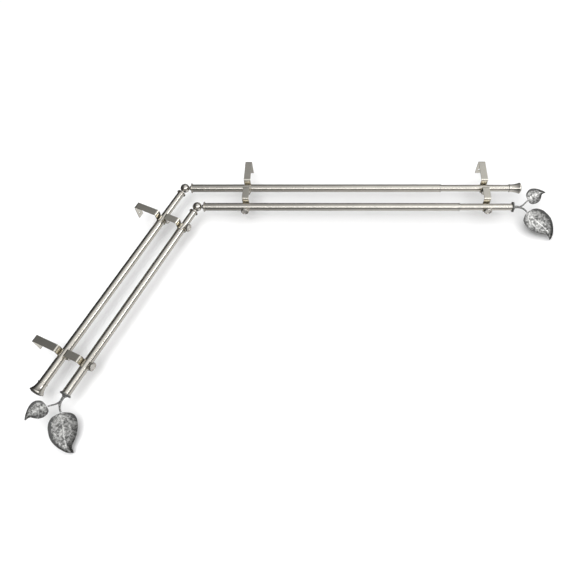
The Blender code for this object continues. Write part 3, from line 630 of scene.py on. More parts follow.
def elbow_ball(rod):
    centre = Matrix.Translation(elbow_centre(rod))
    to_left = WINGS["left"]["axes"].to_3x3().to_4x4()
    bm = bmesh.new()
    bmesh.ops.create_uvsphere(bm, u_segments=112, v_segments=56, radius=BALL_RADIUS)
    mesh = saved_mesh(bm, "ball", tidy=False)
    far = 2 * BALL_RADIUS
    slot = [(far, -SLOT_HALF_WIDTH), (far, SLOT_HALF_WIDTH),
            *circle(SLOT_HALF_WIDTH, 36, math.pi / 2, math.pi)]
    pin = measure_pin(rod)
    cutters = [
        prism("slot", slot, -SLOT_HALF_HEIGHT, SLOT_HALF_HEIGHT, centre @ to_left),
        prism("pin_hole", circle(pin["shank"] + FIT), -far, pin["top"] + FIT, centre),
        prism("head_seat", circle(pin["head"] + FIT), -far, pin["seat"] + FIT, centre),
        prism("stud_hole", circle(STUD_RADIUS + FIT), BALL_RADIUS * 0.733, far,
              centre @ Matrix.Rotation(math.radians(90), 4, "Y")),
    ]
    carved = carve(mesh, centre, cutters, bevel=0.00025)
    finish_piece(f"{rod}_elbow_ball", carved, centre, polished_nickel)


def measure_pin(rod):
    """The pin's heights from the ball's centre and its radii."""
    centre = elbow_centre(rod)
    points = np.array([v.co - centre for v in frame["nodes"][f"{rod}_elbow_pin"].data.vertices])
    radii = np.hypot(points[:, 0], points[:, 1])
    head = radii.max()
    rim = points[radii > 0.95 * head]
    shank = radii[(radii < 0.8 * head) & (radii > 0.1 * head)].max()
    return {"top": points[:, 2].max(), "bottom": points[:, 2].min(), "seat": rim[:, 2].max(),
            "head": head, "shank": shank}


# %% Make the pins
def elbow_pin(rod):
    """A countersunk-looking round head with a cross recess, and a plain shank."""
    pin = measure_pin(rod)
    chamfer = 0.0005
    outline = [(pin["bottom"], 0.0), (pin["bottom"], pin["head"]), (pin["seat"], pin["head"]),
               (pin["seat"], pin["shank"]), (pin["top"], pin["shank"]), (pin["top"], 0.0)]
    upright = Matrix.Translation(elbow_centre(rod)) @ Matrix.Rotation(math.radians(-90), 4, "Y")
    mesh = turned_mesh("pin", soft_corners(outline, chamfer), steps=64)
    arm, reach, depth = 0.0005, 0.62 * pin["head"], 0.0010
    cross = [(arm, arm), (reach, arm), (reach, -arm), (arm, -arm), (arm, -reach), (-arm, -reach),
             (-arm, -arm), (-reach, -arm), (-reach, arm), (-arm, arm), (-arm, reach),
             (arm, reach)]
    recess = prism("recess", cross[::-1], pin["bottom"] - depth, pin["bottom"] + depth,
                   Matrix.Translation(elbow_centre(rod)))
    finish_piece(f"{rod}_elbow_pin", carve(mesh, upright, [recess], bevel=0.0001), upright,
                 zinc_steel)


for rod in ("back", "front"):
    elbow_ball(rod)
    elbow_pin(rod)
print("balls and pins done")

# %% [markdown]
# Inside each elbow, a round stud is fixed in the ball on the right and carries the right tube
# on a plug. On the left the plug, the stud and the flat tongue are one piece. The stud is
# turned here. The tongue keeps its working shape, because it hides in the slot and the cup,
# and gets bevelled edges and its finish.

# %% Make the studs and finish the tongues
def stud(rod):
    node = f"{rod}_elbow_right_stud"
    start, end, _, plug = measure_turned("right", rod, node)
    along, radii = about_rod("right", rod, node)
    shaft = radii[radii > 0.0005].min()
    step = along[radii > 0.97 * plug].min() - start
    outline = [(0.0, 0.0), (0.0, shaft), (step, shaft), (step, plug), (end - start, plug),
               (end - start, 0.0)]
    finish_piece(node, turned_mesh(node, soft_corners(outline, 0.0008), steps=72),
                 on_rod("right", rod, start), zinc_steel)


def soften_node(node, width, material):
    """A working piece that is kept gets soft edges and its finish, and isn't replaced."""
    piece = frame["nodes"][node]
    piece.data.materials.clear()
    piece.data.materials.append(material)
    soft = piece.modifiers.new("soft_edges", "BEVEL")
    soft.width = width
    soft.segments = 3
    soft.limit_method = "ANGLE"
    soft.angle_limit = math.radians(35)
    piece.modifiers.new("even_shading", "WEIGHTED_NORMAL").keep_sharp = True


for rod in ("back", "front"):
    stud(rod)
    soften_node(f"{rod}_elbow_left_tongue", 0.0003, zinc_steel)
print("studs and tongues done")

# %% [markdown]
# The cup flares from a slim neck next to the ball to a rolled rim over the tube. Its curve is
# what makes the elbow look like a bead between two bells, so it gets many points and a fine
# cove under the rim. The mouth is opened out round the tube, so a dark ring shows between.

# %% Make the cups
CUP_LIP, CUP_COVE, CUP_RECESS, CUP_MOUTH = 0.0028, 0.0005, 0.0020, 0.0019


def elbow_cup(node, wing, rod, tube_radius):
    start, end, bore, rim = measure_turned(wing, rod, node)
    length = end - start
    neck = 1.75 * STUD_RADIUS
    flare_length = length - CUP_LIP
    flare = []
    for i in range(25):
        turn = math.pi / 2 * i / 24
        rise = (1 - math.cos(turn)) ** 1.5
        flare.append((flare_length * math.sin(turn), neck + (rim - CUP_COVE - neck) * rise))
    recess = length - CUP_RECESS - FIT
    corners = [(0.0, bore), (0.0, neck - FIT)]
    outline = corners + flare[1:] + soft_corners(
        [(flare_length, rim - CUP_COVE), (flare_length + 0.0002, rim), (length, rim),
         (length, tube_radius + CUP_MOUTH), (recess, tube_radius + FIT), (recess, bore)],
        0.0007)[1:]
    finish_piece(node, turned_mesh(node, outline, closed=True, steps=112),
                 on_rod(wing, rod, start), polished_nickel)


for rod in ("back", "front"):
    elbow_cup(f"{rod}_elbow_right_cup", "right", rod, OUTER_RADIUS)
    elbow_cup(f"{rod}_elbow_left_cup", "left", rod, INNER_RADIUS)
print("cups done")

# %% [markdown]
# ## End caps
#
# The back rod ends in a trumpet: a short collar, a waist that widens in a long even curve, a
# crisp rim and a shallow dome. The plug that holds it in the tube is part of the same turning.

# %% Make the caps
def end_cap(wing, tube_radius):
    node = f"{wing}_end_cap"
    start, end, _, flare = measure_turned(wing, "back", node)
    tube_end = measure_turned(wing, "back", f"{wing}_back_" + ("inner" if wing == "right"
                                                               else "outer") + "_tube")[1]
    plug_length = tube_end - start
    length = end - tube_end
    along, radii = about_rod(wing, "back", node)
    plug = radii[along < tube_end - 0.001].max()
    collar_length, rim_length = 0.0042, 0.0036
    neck = tube_radius + (0.0014 if wing == "right" else 0.0006)
    rim_start = 0.78 * length
    rim_end = rim_start + rim_length
    trumpet = []
    for i in range(33):
        rise = i / 32
        trumpet.append((collar_length + (rim_start - collar_length) * rise,
                        neck + (flare - 0.0003 - neck) * rise ** 2.2))
    dome_radius = flare - 0.0030
    dome = [(rim_end + (length - rim_end) * math.cos(math.pi / 2 * (1 - i / 20)),
             dome_radius * math.sin(math.pi / 2 * (1 - i / 20))) for i in range(21)]
    outline = soft_corners(
        [(-plug_length, 0.0), (-plug_length, plug), (0.0003, plug),
         (0.0003, tube_radius + 0.0018), (collar_length, tube_radius + 0.0018),
         trumpet[0]], 0.0010)
    outline += [Vector(p) for p in trumpet[1:]]
    outline += soft_corners([trumpet[-1], (rim_start + 0.0002, flare), (rim_end, flare),
                             (rim_end, dome_radius), dome[1]], 0.0007)[1:]
    outline += [Vector(p) for p in dome[2:]]
    outline[-1].y = 0.0
    finish_piece(node, turned_mesh(node, outline, steps=128), on_rod(wing, "back", tube_end),
                 turned_nickel)
    print(node, "is", round(length * 1000, 1), "mm long and",
          round(2 * flare * 1000, 1), "mm across")


end_cap("right", INNER_RADIUS)
end_cap("left", OUTER_RADIUS)

# %% [markdown]
# ## Leaf finials
#
# On each end of the front rod a cast collar holds a forked twig, and the twig carries a small
# and a large leaf in one plane that leans towards the room. First comes that plane: a place
# on it is given as along the rod, across towards the room, and lift above it.

# %% The plane of the leaves
LEAF_TILT = math.radians(26.0)


def leaf_plane(wing):
    """The frame of the leaf plane: X along the rod, Y across towards the room, Z lift."""
    room = WINGS[wing]["room"]
    across = Vector((0.0, room * math.cos(LEAF_TILT), -math.sin(LEAF_TILT)))
    lift = Vector((0.0, room * math.sin(LEAF_TILT), math.cos(LEAF_TILT)))
    turn = Matrix((Vector((1.0, 0.0, 0.0)), across, lift)).transposed().to_4x4()
    tube = f"{wing}_front_" + ("inner" if wing == "right" else "outer") + "_tube"
    return on_rod(wing, "front", measure_turned(wing, "front", tube)[1]) @ turn


# %% Make the collars
def collar(wing):
    node = f"{wing}_finial_collar"
    start, end, _, flange = measure_turned(wing, "front", node)
    plane = leaf_plane(wing)
    tube_end = (WINGS[wing]["axes"].inverted() @ plane.translation).x
    along, radii = about_rod(wing, "front", node)
    plug = radii[along < tube_end - 0.001].max()
    top = 0.0042 + 0.0003
    boss = 0.0068
    reach = end - tube_end
    outline = [(start - tube_end, 0.0), (start - tube_end, plug), (0.0003, plug),
               (0.0003, flange), (0.4 * top, flange), (0.5 * top, flange - 0.0005),
               (0.6 * top, flange), (top, flange), (top, 0.72 * flange),
               (top - 0.0006, 0.68 * flange), (top, 0.63 * flange), (top, 1.4 * boss),
               (top + 0.3 * (reach - top), 1.1 * boss), (top + 0.8 * (reach - top), boss),
               (reach, 0.85 * boss), (reach, 0.0)]
    mesh = turned_mesh(node, soft_corners(outline, 0.0009), steps=112)
    relief = mesh.attributes.new("relief", "FLOAT", "POINT")
    for v in mesh.vertices:
        relief.data[v.index].value = 0.60 + 0.3 * noise.noise(v.co * 260)
    finish_piece(node, mesh, on_rod(wing, "front", tube_end), antique_pewter)


for wing in WINGS:
    collar(wing)
print("collars done")

# %% [markdown]
# The twig is cast too, with a stem and a side branch that grow into each other. Two curves
# with a changing thickness make the branches. A voxel remesh then melts them into one skin,
# as wax would be before casting, and a little noise stretched lengthwise gives it bark.

# %% Smooth curves through a few points
def smooth_through(points, steps):
    """A Catmull-Rom curve through rows of numbers, as an array."""
    points = np.array(points, float)
    padded = np.vstack([2 * points[0] - points[1], points, 2 * points[-1] - points[-2]])
    rows = []
    for i in range(1, len(padded) - 2):
        p0, p1, p2, p3 = padded[i - 1:i + 3]
        for t in np.arange(steps) / steps:
            rows.append(0.5 * (2 * p1 + (p2 - p0) * t + (2 * p0 - 5 * p1 + 4 * p2 - p3) * t ** 2
                               + (3 * p1 - p0 - 3 * p2 + p3) * t ** 3))
    rows.append(points[-1])
    return np.array(rows)


def branch(bm, route, steps=28):
    """A closed round bar along rows of (x, y, z, radius)."""
    rings = []
    for i, (x, y, z, radius) in enumerate(route):
        ahead = Vector(route[min(i + 1, len(route) - 1)][:3] - route[max(i - 1, 0)][:3])
        turn = ahead.to_track_quat("X", "Z").to_matrix()
        rings.append([bm.verts.new(Vector((x, y, z)) + turn @ Vector(
            (0.0, radius * math.cos(2 * math.pi * k / steps),
             radius * math.sin(2 * math.pi * k / steps)))) for k in range(steps)])
    for ring, after in zip(rings, rings[1:]):
        for k in range(steps):
            bm.faces.new((ring[k], ring[(k + 1) % steps], after[(k + 1) % steps], after[k]))
    bm.faces.new(rings[0][::-1])
    bm.faces.new(rings[-1])


# %% Make the twigs
LEAF_BASES = {"small": (0.0515, -0.0205), "large": (0.0480, 0.0175)}
FORK = 0.0295


def twig(wing):
    node = f"{wing}_finial_twig"
    large_along, large_across = LEAF_BASES["large"]
    small_along, small_across = LEAF_BASES["small"]
    stem_reach, side_reach = large_along - FORK, small_along - FORK
    stem = [(0.0101, 0.0, 0.0, 0.0047), (0.0195, 0.0, 0.0, 0.0040),
            (FORK, 0.12 * large_across, 0.0, 0.0037),
            (FORK + 0.42 * stem_reach, 0.36 * large_across, 0.0, 0.0029),
            (FORK + 0.78 * stem_reach, 0.68 * large_across, 0.0, 0.0025),
            (large_along, large_across, 0.0, 0.0025)]
    side = [(0.75 * FORK, 0.0, 0.0, 0.0025), (1.05 * FORK, 0.16 * small_across, 0.0, 0.0025),
            (FORK + 0.40 * side_reach, 0.40 * small_across, 0.0, 0.0024),
            (FORK + 0.72 * side_reach, 0.74 * small_across, 0.0, 0.0022),
            (small_along, small_across, 0.0, 0.0022)]
    bm = bmesh.new()
    branch(bm, smooth_through(stem, 8))
    branch(bm, smooth_through(side, 8))
    wax = add_object("wax", saved_mesh(bm, node))
    melt = wax.modifiers.new("melt", "REMESH")
    melt.mode = "VOXEL"
    melt.voxel_size = 0.00034
    smooth = wax.modifiers.new("smooth", "SMOOTH")
    smooth.iterations = 6
    melted = modified_mesh(wax)
    bpy.data.objects.remove(wax, do_unlink=True)
    normals = [v.normal.copy() for v in melted.vertices]
    relief = melted.attributes.new("relief", "FLOAT", "POINT")
    for v, normal in zip(melted.vertices, normals):
        ridge = noise.noise(Vector((v.co.x * 160, v.co.y * 900, v.co.z * 900)))
        knot = noise.noise(v.co * 260)
        v.co += normal * (0.00016 * ridge + 0.00012 * knot - 0.00010)
        relief.data[v.index].value = 0.52 + 0.5 * ridge + 0.2 * knot
    finish_piece(node, melted, leaf_plane(wing), antique_pewter, weighted=False)
    print(node, "has", len(melted.polygons), "faces")


for wing in WINGS:
    twig(wing)

# %% [markdown]
# Each leaf is a shallow cupped casting with a hooked tip. Its two edges are measured as
# distances from the line between base and tip, and a fine grid fills it from edge to edge.
# The veins are modelled, not painted: a midrib, side veins that sweep towards the tip, and
# soft quilting between them. The same height that lifts the surface is stored as "relief" for
# the wash to follow, together with painted shade that darkens each leaf's far edge and its
# near edge by the base. Sculpting by hand would look as good, but could not be repeated exactly.

# %% The leaves' outlines
STATIONS = (0.0, .03, .08, .15, .24, .34, .45, .56, .66, .75, .82, .90, .96, 1.0)
LEAVES = {
    "small": {
        "length": 0.0620, "heading": math.radians(-25.4), "veins": 6,
        "near": (.03, .17, .235, .28, .305, .312, .29, .235, .14, .035, 0, -.005, 0, 0),
        "far": (.12, .29, .375, .435, .478, .495, .48, .435, .37, .298, .232, .145, .07, 0),
    },
    "large": {
        "length": 0.1130, "heading": math.radians(50.3), "veins": 8,
        "near": (.02, .115, .205, .262, .288, .283, .257, .213, .155, .08, .02, -.005, 0, 0),
        "far": (.1, .21, .285, .335, .372, .39, .398, .385, .35, .3, .25, .18, .1, 0),
    },
}


def leaf_edges(shape, rows):
    """Station, near edge and far edge at even steps, rounded through the measured ones."""
    curve = smooth_through(np.column_stack([STATIONS, shape["near"], shape["far"]]), 12)
    order = np.argsort(curve[:, 0])
    t = np.linspace(0.0, 1.0, rows + 1) ** 1.15
    return [t] + [np.interp(t, curve[order, 0], curve[order, k]) for k in (1, 2)]


# %% Veins and quilting
def ridge(distance, width):
    return np.exp(-(distance / width) ** 2)


def vein_relief(shape, t, across, seed):
    """Height of the veins in metres, and how bare the wash leaves them, over the grid."""
    length, count = shape["length"], shape["veins"]
    out = np.abs(across)
    midrib_width = 0.0011 * (1.25 - 0.75 * t) / (0.28 * length)
    height = 0.00065 * ridge(out, midrib_width) * (1.0 - 0.5 * t)
    bare = 0.40 * ridge(out, midrib_width)
    spacing = 0.86 / count
    for side in (-1.0, 1.0):
        on_side = (across * side > 0).astype(float)
        for i in range(count):
            wander = 0.02 * math.sin(2.3 * i + seed + side)
            path = 0.03 + i * spacing + wander + 0.30 * out ** 1.25 - 0.06 * out ** 2
            offset = (t - path) * length * 0.78
            strength = on_side * (1.0 - 0.55 * out) * np.clip(out * 9, 0, 1)
            height = height + 0.00034 * strength * ridge(offset, 0.0010)
            bare = bare + 0.26 * strength * ridge(offset, 0.0011)
            between = (t - path - spacing / 2) * length * 0.78
            puff = ridge(between, 0.30 * spacing * length) * np.clip(out * 4, 0, 1)
            height = height + 0.00035 * on_side * puff * (1.0 - 0.6 * out)
    return height, bare


# %% Make the leaves
LEAF_HALF_THICKNESS = 0.0010


def leaf(wing, size):
    node = f"{wing}_{size}_leaf"
    shape = LEAVES[size]
    rows, columns = (150, 90) if size == "large" else (110, 84)
    length = shape["length"]
    t, near, far = leaf_edges(shape, rows)
    across = np.sin(np.linspace(-math.pi / 2, math.pi / 2, columns + 1))
    t_grid, a_grid = np.meshgrid(t, across, indexing="ij")
    middle_line = length * (near - far)[:, None] / 2
    half = np.maximum(length * (near + far) / 2, 0.0012)[:, None]
    curl = 0.085 * length * (np.abs(a_grid) ** 1.7 - 0.3) * np.minimum(1.0, 4 * t_grid)
    lift = curl - 0.16 * length * (t_grid - 0.38) ** 2
    seed = 1.7 if wing == "left" else 0.4
    veins, bare = vein_relief(shape, t_grid, a_grid, seed)
    ahead = np.array([math.cos(shape["heading"]), math.sin(shape["heading"])])
    beside = np.array([-ahead[1], ahead[0]])
    start = np.array(LEAF_BASES[size]) + ahead * 0.0013
    flat = (start + (length * t_grid)[..., None] * ahead
            + (middle_line + half * a_grid)[..., None] * beside)
    surface = np.dstack([flat, lift])
    down_rows, down_columns = np.gradient(surface, axis=0), np.gradient(surface, axis=1)
    normal = np.cross(down_rows, down_columns)
    normal /= np.linalg.norm(normal, axis=2, keepdims=True) + 1e-12
    if normal[..., 2].mean() < 0:
        normal = -normal
    rough = np.array([[noise.noise(Vector(p) * 420) for p in row] for row in surface])
    blotch = np.array([[noise.noise(Vector(p) * 150) for p in row] for row in surface])
    edge = np.minimum(1.0, np.minimum((1 - np.abs(a_grid)) * 12, np.minimum(t_grid, 1 - t_grid)
                                      * 40))
    rounding = np.sqrt(np.clip(1 - (1 - edge) ** 2, 0, 1))
    thick = LEAF_HALF_THICKNESS * (0.35 + 0.65 * rounding)
    top_height = thick - 0.0009 * rounding + rounding * (veins + 0.00010 * rough)
    bottom_height = -thick + 0.00012 * rounding * rough + 0.45 * rounding * veins
    top = surface + normal * top_height[..., None]
    bottom = surface + normal * bottom_height[..., None]
    # edge_shade is painted shade. It darkens each leaf's far edge along its whole length and its
    # near edge mostly by the base, and it is subtracted into the wash value stored as relief.
    edge_shade = np.clip((np.abs(a_grid) - 0.66) / 0.30, 0, 1)
    edge_shade = edge_shade * np.where(a_grid < 0, 1.0, np.clip(1.2 - 3.2 * t_grid, 0.15, 1.0))
    top_wash_and_painted_shade = np.clip(0.50 + bare + 0.42 * rough + 0.50 * blotch - 0.80 * edge_shade, 0, 1.0)
    bare_bottom = np.clip(0.25 + 0.5 * rough, 0, 1)
    mesh = grid_shell(node, top, bottom)
    relief = mesh.attributes.new("relief", "FLOAT", "POINT")
    relief.data.foreach_set("value", np.concatenate([top_wash_and_painted_shade.ravel(), bare_bottom.ravel()]))
    finish_piece(node, mesh, leaf_plane(wing), antique_pewter, weighted=False)
    print(node, "has", len(mesh.polygons), "faces")


def grid_shell(name, top, bottom):
    """A closed shell from two grids of points with the same edges."""
    rows, columns = top.shape[:2]
    bm = bmesh.new()
    skins = [[[bm.verts.new(p) for p in row] for row in skin] for skin in (top, bottom)]
    for skin in skins:
        for i in range(rows - 1):
            for j in range(columns - 1):
                bm.faces.new((skin[i][j], skin[i][j + 1], skin[i + 1][j + 1], skin[i + 1][j]))
    rim = ([(0, j) for j in range(columns)] + [(i, columns - 1) for i in range(1, rows)]
           + [(rows - 1, j) for j in range(columns - 2, -1, -1)]
           + [(i, 0) for i in range(rows - 2, 0, -1)])
    for (i, j), (k, m) in zip(rim, rim[1:] + rim[:1]):
        bm.faces.new((skins[0][i][j], skins[0][k][m], skins[1][k][m], skins[1][i][j]))
    return saved_mesh(bm, name)


for wing in WINGS:
    for size in LEAVES:
        leaf(wing, size)

# %% [markdown]
# ## Double brackets
#
# A bracket is one strip, 22 mm wide and 2.5 mm thick, bent over a former: down the wall, out
# as an arm, down round the back rod, across a bridge, round the front rod and up to a lip.
# The middle line of the bend is walked once, and a rounded section is swept along it. The
# strip's unrolled length and width are kept as a map, so that the brushing runs along the
# metal round every bend, as it would on a strip brushed before bending.

# %% The middle line of the strip
STRIP_THICKNESS, STRIP_WIDTH, STRIP_BEND = 0.0025, 0.0220, 0.0045
CRADLE_RADIUS = OUTER_RADIUS + 0.0006 + STRIP_THICKNESS / 2


def arc(centre, radius, start, end, steps):
    return [(centre[0] + radius * math.cos(start + (end - start) * i / steps),
             centre[1] + radius * math.sin(start + (end - start) * i / steps))
            for i in range(steps + 1)]


def bracket_sizes(wing, place):
    """Distance along the wing, the wall's distance, and the heights of arm, plate and lip."""
    points = in_wing(wing, f"{wing}_{place}_bracket")
    out = points[:, 1] * WINGS[wing]["room"]
    lip = points[out > out.max() - 0.0001]
    return {"at": (points[:, 0].min() + points[:, 0].max()) / 2, "wall": out.min(),
            "arm": points[:, 2].max(), "foot": points[:, 2].min(), "lip": lip[:, 2].max()}


def strip_route(size):
    """(towards the room, height) from the foot of the wall plate to the lip."""
    half, bend, quarter = STRIP_THICKNESS / 2, STRIP_BEND, math.pi / 2
    arm = size["arm"] - half
    route = [(size["wall"] + half, size["foot"])]
    route += arc((size["wall"] + half + bend, arm - bend), bend, 2 * quarter, quarter, 10)
    spacing = abs(WINGS["right"]["spacing"])
    for axis in (0.0, spacing):
        route += arc((axis - CRADLE_RADIUS - bend, arm - bend), bend, quarter, 0.0, 10)
        route += arc((axis, 0.0), CRADLE_RADIUS, -2 * quarter, 0.0, 40)
        if axis == 0.0:
            route += arc((CRADLE_RADIUS + bend, arm - bend), bend, 2 * quarter, quarter, 10)
    route.append((spacing + CRADLE_RADIUS, size["lip"]))
    return route


# %% Sweep the section along it
def filled_in(route, longest=0.004):
    """Adds points to long straights, so that the shading stays even."""
    dense = [route[0]]
    for a, b in zip(route, route[1:]):
        parts = max(1, math.ceil(math.dist(a, b) / longest))
        dense += [(a[0] + (b[0] - a[0]) * k / parts, a[1] + (b[1] - a[1]) * k / parts)
                  for k in range(1, parts + 1)]
    return dense


def section(corner=0.00055, steps=4):
    """The strip's rounded rectangle as (across, through) points."""
    across, through = STRIP_WIDTH / 2 - corner, STRIP_THICKNESS / 2 - corner
    points = []
    for k, (sx, sy) in enumerate(((1, 1), (-1, 1), (-1, -1), (1, -1))):
        points += [(x + sx * across, y + sy * through)
                   for x, y in arc((0, 0), corner, k * math.pi / 2, (k + 1) * math.pi / 2,
                                   steps)]
    return points


def strip_mesh(name, route, room):
    """The swept strip, with its unrolled place stored in the map called strip."""
    outline = section()
    bm = bmesh.new()
    unrolled = bm.loops.layers.uv.new("strip")
    rings, travelled, total = [], [], 0.0
    for i, (out, height) in enumerate(route):
        before, after = Vector(route[max(i - 1, 0)]), Vector(route[min(i + 1, len(route) - 1)])
        ahead = (after - before).normalized()
        through = Vector((-ahead.y, ahead.x))
        if i:
            total += math.dist(route[i - 1], route[i])
        travelled.append(total)
        ring = []
        for across, depth in outline:
            p = Vector((out, height)) + through * depth
            ring.append(bm.verts.new((across, room * p.x, p.y)))
        rings.append(ring)
    count = len(outline)
    for i in range(len(rings) - 1):
        for k in range(count):
            m = (k + 1) % count
            face = bm.faces.new((rings[i][k], rings[i][m], rings[i + 1][m], rings[i + 1][k]))
            for loop, (row, col) in zip(face.loops, ((i, k), (i, m), (i + 1, m), (i + 1, k))):
                across, depth = outline[col]
                loop[unrolled].uv = (travelled[row], across + 3 * depth)
    bm.faces.new(rings[0][::-1])
    bm.faces.new(rings[-1])
    return saved_mesh(bm, name)


# %% [markdown]
# Two screw holes go through each wall plate, countersunk from the room side, and a threaded
# hole goes through the room-side wall of each cradle. The cutters are shaped as the drill and
# the countersink would be, and pass right through.

# %% Make the brackets
HOLE_DROPS = (0.018, 0.042)
HOLE_RADIUS = 0.0032
SCREW_HEIGHT = 0.55 * OUTER_RADIUS
SHANK_RADIUS = 0.0022


def drill(name, outline, matrix):
    """A turned cutter, its X axis along the hole."""
    return add_object(name, turned_mesh(name, outline, steps=48), matrix)


def bracket(wing, place):
    node = f"{wing}_{place}_bracket"
    size = bracket_sizes(wing, place)
    room = WINGS[wing]["room"]
    matrix = WINGS[wing]["axes"] @ Matrix.Translation((size["at"], 0.0, 0.0))
    to_room = Matrix.Rotation(math.radians(90) * room, 4, "Z")
    mesh = strip_mesh(node, filled_in(strip_route(size)), room)
    cutters = []
    face = STRIP_THICKNESS
    sink = [(-face, 0.0), (-face, HOLE_RADIUS), (face - 0.0009, HOLE_RADIUS),
            (face + 0.0003, HOLE_RADIUS + 0.0012), (2 * face, HOLE_RADIUS + 0.0012),
            (2 * face, 0.0)]
    for drop in HOLE_DROPS:
        at = Matrix.Translation((0.0, room * size["wall"], size["arm"] - drop))
        cutters.append(drill("wall_hole", sink, matrix @ at @ to_room))
    bore = SHANK_RADIUS + FIT
    for axis in (0.0, abs(WINGS[wing]["spacing"])):
        wall = axis + CRADLE_RADIUS
        hole = [(-face, 0.0), (-face, bore), (face, bore), (face, 0.0)]
        at = Matrix.Translation((0.0, room * wall, SCREW_HEIGHT))
        cutters.append(drill("screw_hole", hole, matrix @ at @ to_room))
    finish_piece(node, carve(mesh, matrix, cutters), matrix, bracket_nickel)


for wing in WINGS:
    for place_name in ("inner", "outer"):
        bracket(wing, place_name)
print("brackets done")

# %% [markdown]
# ## Thumbscrews
#
# Each cradle's room-side wall takes a screw with a fat round head, knurled for the fingers and
# dished in the middle. The knurl ripples the radius only where the head is widest. The shank
# has a ring for each turn of its thread, which at this size can't be told from a helix.

# %% Make the thumbscrews
def thumbscrew(wing, place, rod):
    node = f"{wing}_{place}_{rod}_thumbscrew"
    room = WINGS[wing]["room"]
    points = in_wing(wing, node)
    out = points[:, 1] * room
    at = (points[:, 0].min() + points[:, 0].max()) / 2
    height = (points[:, 2].min() + points[:, 2].max()) / 2
    knob = (points[:, 2].max() - points[:, 2].min()) / 2
    length = out.max() - out.min()
    thickness, shoulder_length, shoulder, shank = 0.0080, 0.0012, 0.0050, SHANK_RADIUS
    head = length - thickness - shoulder_length
    thread = [(0.0, 0.0), (0.0, shank - 0.0004)]
    pitch = 0.0008
    for k in range(int(head / pitch)):
        thread += [(k * pitch + 0.0002, shank - 0.0003), (k * pitch + 0.0006, shank)]
    under = head + shoulder_length
    dish = 0.62 * knob
    body = soft_corners(
        [(head - 0.0001, shank - 0.0003), (head, shoulder), (under, shoulder),
         (under, knob - 0.0012), (under + 0.0012, knob), (length - 0.0014, knob),
         (length, knob - 0.0016), (length, dish + 0.0009), (length - 0.0016, dish),
         (length - 0.0019, 0.3 * knob), (length - 0.0016, 0.0)], 0.0009)
    outline = [Vector(p) for p in thread] + body
    side = math.radians(90) * room
    matrix = (WINGS[wing]["axes"] @ Matrix.Translation((at, room * out.min(), height))
              @ Matrix.Rotation(side, 4, "Z"))
    mesh = turned_mesh(node, outline, steps=288, knurl=(36, 0.00035, 0.93 * knob))
    finish_piece(node, mesh, matrix, polished_nickel, weighted=False)


for wing in WINGS:
    for place_name in ("inner", "outer"):
        for rod in ("back", "front"):
            thumbscrew(wing, place_name, rod)
print("thumbscrews done")

# %% [markdown]
# ## Floor, light and camera
#
# The set lies on a plain pale floor. Polished metal shows whatever stands round it, so the
# light matters as much as the finish: a long soft box in front draws the bright line down each
# tube, a broad one high above the left front throws the soft shadows, and darker surroundings
# near the horizon give the tubes their dark edges.

# %% Floor
low = working_box[0]
FLOOR_GAP = 0.004


def floor():
    material = bpy.data.materials.new("pale_floor")
    material.use_nodes = True
    tree = material.node_tree
    where = place(tree, "ShaderNodeTexCoord", (-800, 0))
    mottle = place(tree, "ShaderNodeTexNoise", (-600, 0), vector=where.outputs["Object"],
                   scale=6.0, detail=3.0)
    tone = blend_colours(tree, mottle.outputs[0], (0.93, 0.93, 0.93), (0.95, 0.95, 0.95))
    tree.links.new(tone, tree.nodes["Principled BSDF"].inputs["Base Color"])
    tree.nodes["Principled BSDF"].inputs["Roughness"].default_value = 0.9
    tree.nodes["Principled BSDF"].inputs["Specular IOR Level"].default_value = 0.1
    bm = bmesh.new()
    bmesh.ops.create_grid(bm, x_segments=24, y_segments=24, size=12.0)
    mesh = saved_mesh(bm, "floor", tidy=False)
    mesh.materials.append(material)
    plane = add_object("floor", mesh, Matrix.Translation((0.3, -0.4, low.z - FLOOR_GAP)))
    plane.visible_glossy = False


floor()

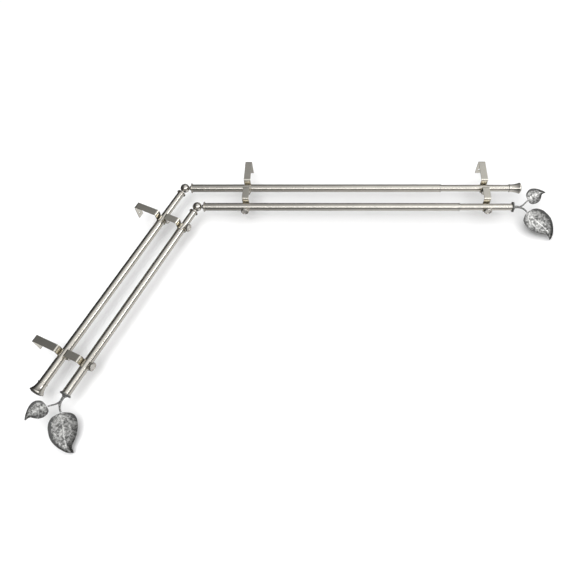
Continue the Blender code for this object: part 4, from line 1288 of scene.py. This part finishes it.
# %% Surroundings
def surroundings():
    world = bpy.data.worlds.new("studio")
    bpy.context.scene.world = world
    world.use_nodes = True
    tree = world.node_tree
    where = place(tree, "ShaderNodeTexCoord", (-1100, 0))
    parts = place(tree, "ShaderNodeSeparateXYZ", (-900, 0), vector=where.outputs["Generated"])
    height = place(tree, "ShaderNodeMapRange", (-700, 0), value=parts.outputs[2], from_min=-1.0)
    rise = place(tree, "ShaderNodeValToRGB", (-500, 0), fac=height.outputs[0])
    ramp = rise.color_ramp
    levels = ((0.0, 0.42), (0.40, 0.38), (0.47, 0.12), (0.54, 0.07), (0.66, 0.25), (0.97, 0.62))
    ramp.elements[0].position, ramp.elements[1].position = levels[0][0], levels[-1][0]
    for position, _ in levels[1:-1]:
        ramp.elements.new(position)
    for element, (_, level) in zip(ramp.elements, levels):
        element.color = (level, level, level, 1.0)
    side = place(tree, "ShaderNodeMapRange", (-700, -300), {"interpolation_type": "SMOOTHSTEP"},
                 value=parts.outputs[0], from_min=-0.62, from_max=0.45, to_min=0.22, to_max=1.75)
    behind = place(tree, "ShaderNodeMapRange", (-700, -550), value=parts.outputs[1],
                   from_min=0.1, from_max=0.9, to_min=1.0, to_max=0.62)
    shaded = place(tree, "ShaderNodeVectorMath", (-300, -100), {"operation": "SCALE"},
                   scale=maths(tree, "MULTIPLY", side.outputs[0], behind.outputs[0]))
    tree.links.new(rise.outputs[0], shaded.inputs[0])
    background = tree.nodes["Background"]
    tree.links.new(shaded.outputs[0], background.inputs["Color"])
    seen = place(tree, "ShaderNodeBackground", (-200, -200), color=(0.95, 0.95, 0.95, 1.0),
                 strength=1.0)
    ray = place(tree, "ShaderNodeLightPath", (-500, 300))
    choose = tree.nodes.new("ShaderNodeMixShader")
    tree.links.new(ray.outputs["Is Camera Ray"], choose.inputs[0])
    tree.links.new(background.outputs[0], choose.inputs[1])
    tree.links.new(seen.outputs[0], choose.inputs[2])
    tree.links.new(choose.outputs[0], tree.nodes["World Output"].inputs["Surface"])


surroundings()

# %% Lights
def soft_box(name, place_at, aim, size, power, on_metal=True, on_floor=True):
    """A rectangular lamp. It can be kept out of the metal's reflections or off the floor."""
    data = bpy.data.lights.new(name, "AREA")
    data.shape = "RECTANGLE"
    data.size, data.size_y = size
    data.energy = power
    toward = Vector(aim) - Vector(place_at)
    turn = toward.to_track_quat("-Z", "Y").to_matrix().to_4x4()
    lamp = add_object(name, data, Matrix.Translation(place_at) @ turn)
    lamp.visible_glossy = on_metal
    lamp.visible_diffuse = on_floor


soft_box("key_above_left", (-0.60, -1.60, 3.3), (0.2, -0.3, 0.0), (2.0, 2.0), 42,
         on_metal=False)
soft_box("fill_overhead", (0.4, -1.0, 4.5), (0.4, -0.5, 0.0), (7.0, 7.0), 225, on_metal=False)
soft_box("strip_front", (0.50, -1.55, 1.70), (0.45, -0.15, 0.0), (2.5, 0.55), 9.5,
         on_floor=False)
soft_box("strip_right", (1.75, -0.42, 1.27), (-0.35, -0.45, 0.0), (1.25, 0.5), 9.5,
         on_floor=False)

# %% [markdown]
# The camera looks down on the corner from the room at about 60 degrees, as if held over a
# table, with a slightly long lens so that the two wings keep their proportions.

# %% Camera
def camera():
    data = bpy.data.cameras.new("camera")
    data.lens, data.sensor_width = 36.40, 36.0
    data.shift_x, data.shift_y = -0.0483, 0.0020
    right = Vector((0.99953, 0.01923, -0.02374))
    down = Vector((0.00493, -0.86838, -0.49587))
    forward = Vector((-0.03016, 0.49552, -0.86807))
    turn = Matrix((right, -down, -forward)).transposed().to_4x4()
    viewer = add_object("camera", data, Matrix.Translation((0.2838, -1.3452, 1.5205)) @ turn)
    bpy.context.scene.camera = viewer
    bpy.context.scene.view_settings.view_transform = "Standard"
    bpy.context.scene.view_settings.look = "None"


camera()

# %% Print the working model's size
print("working model", [tuple(round(v, 4) for v in c) for c in working_box])
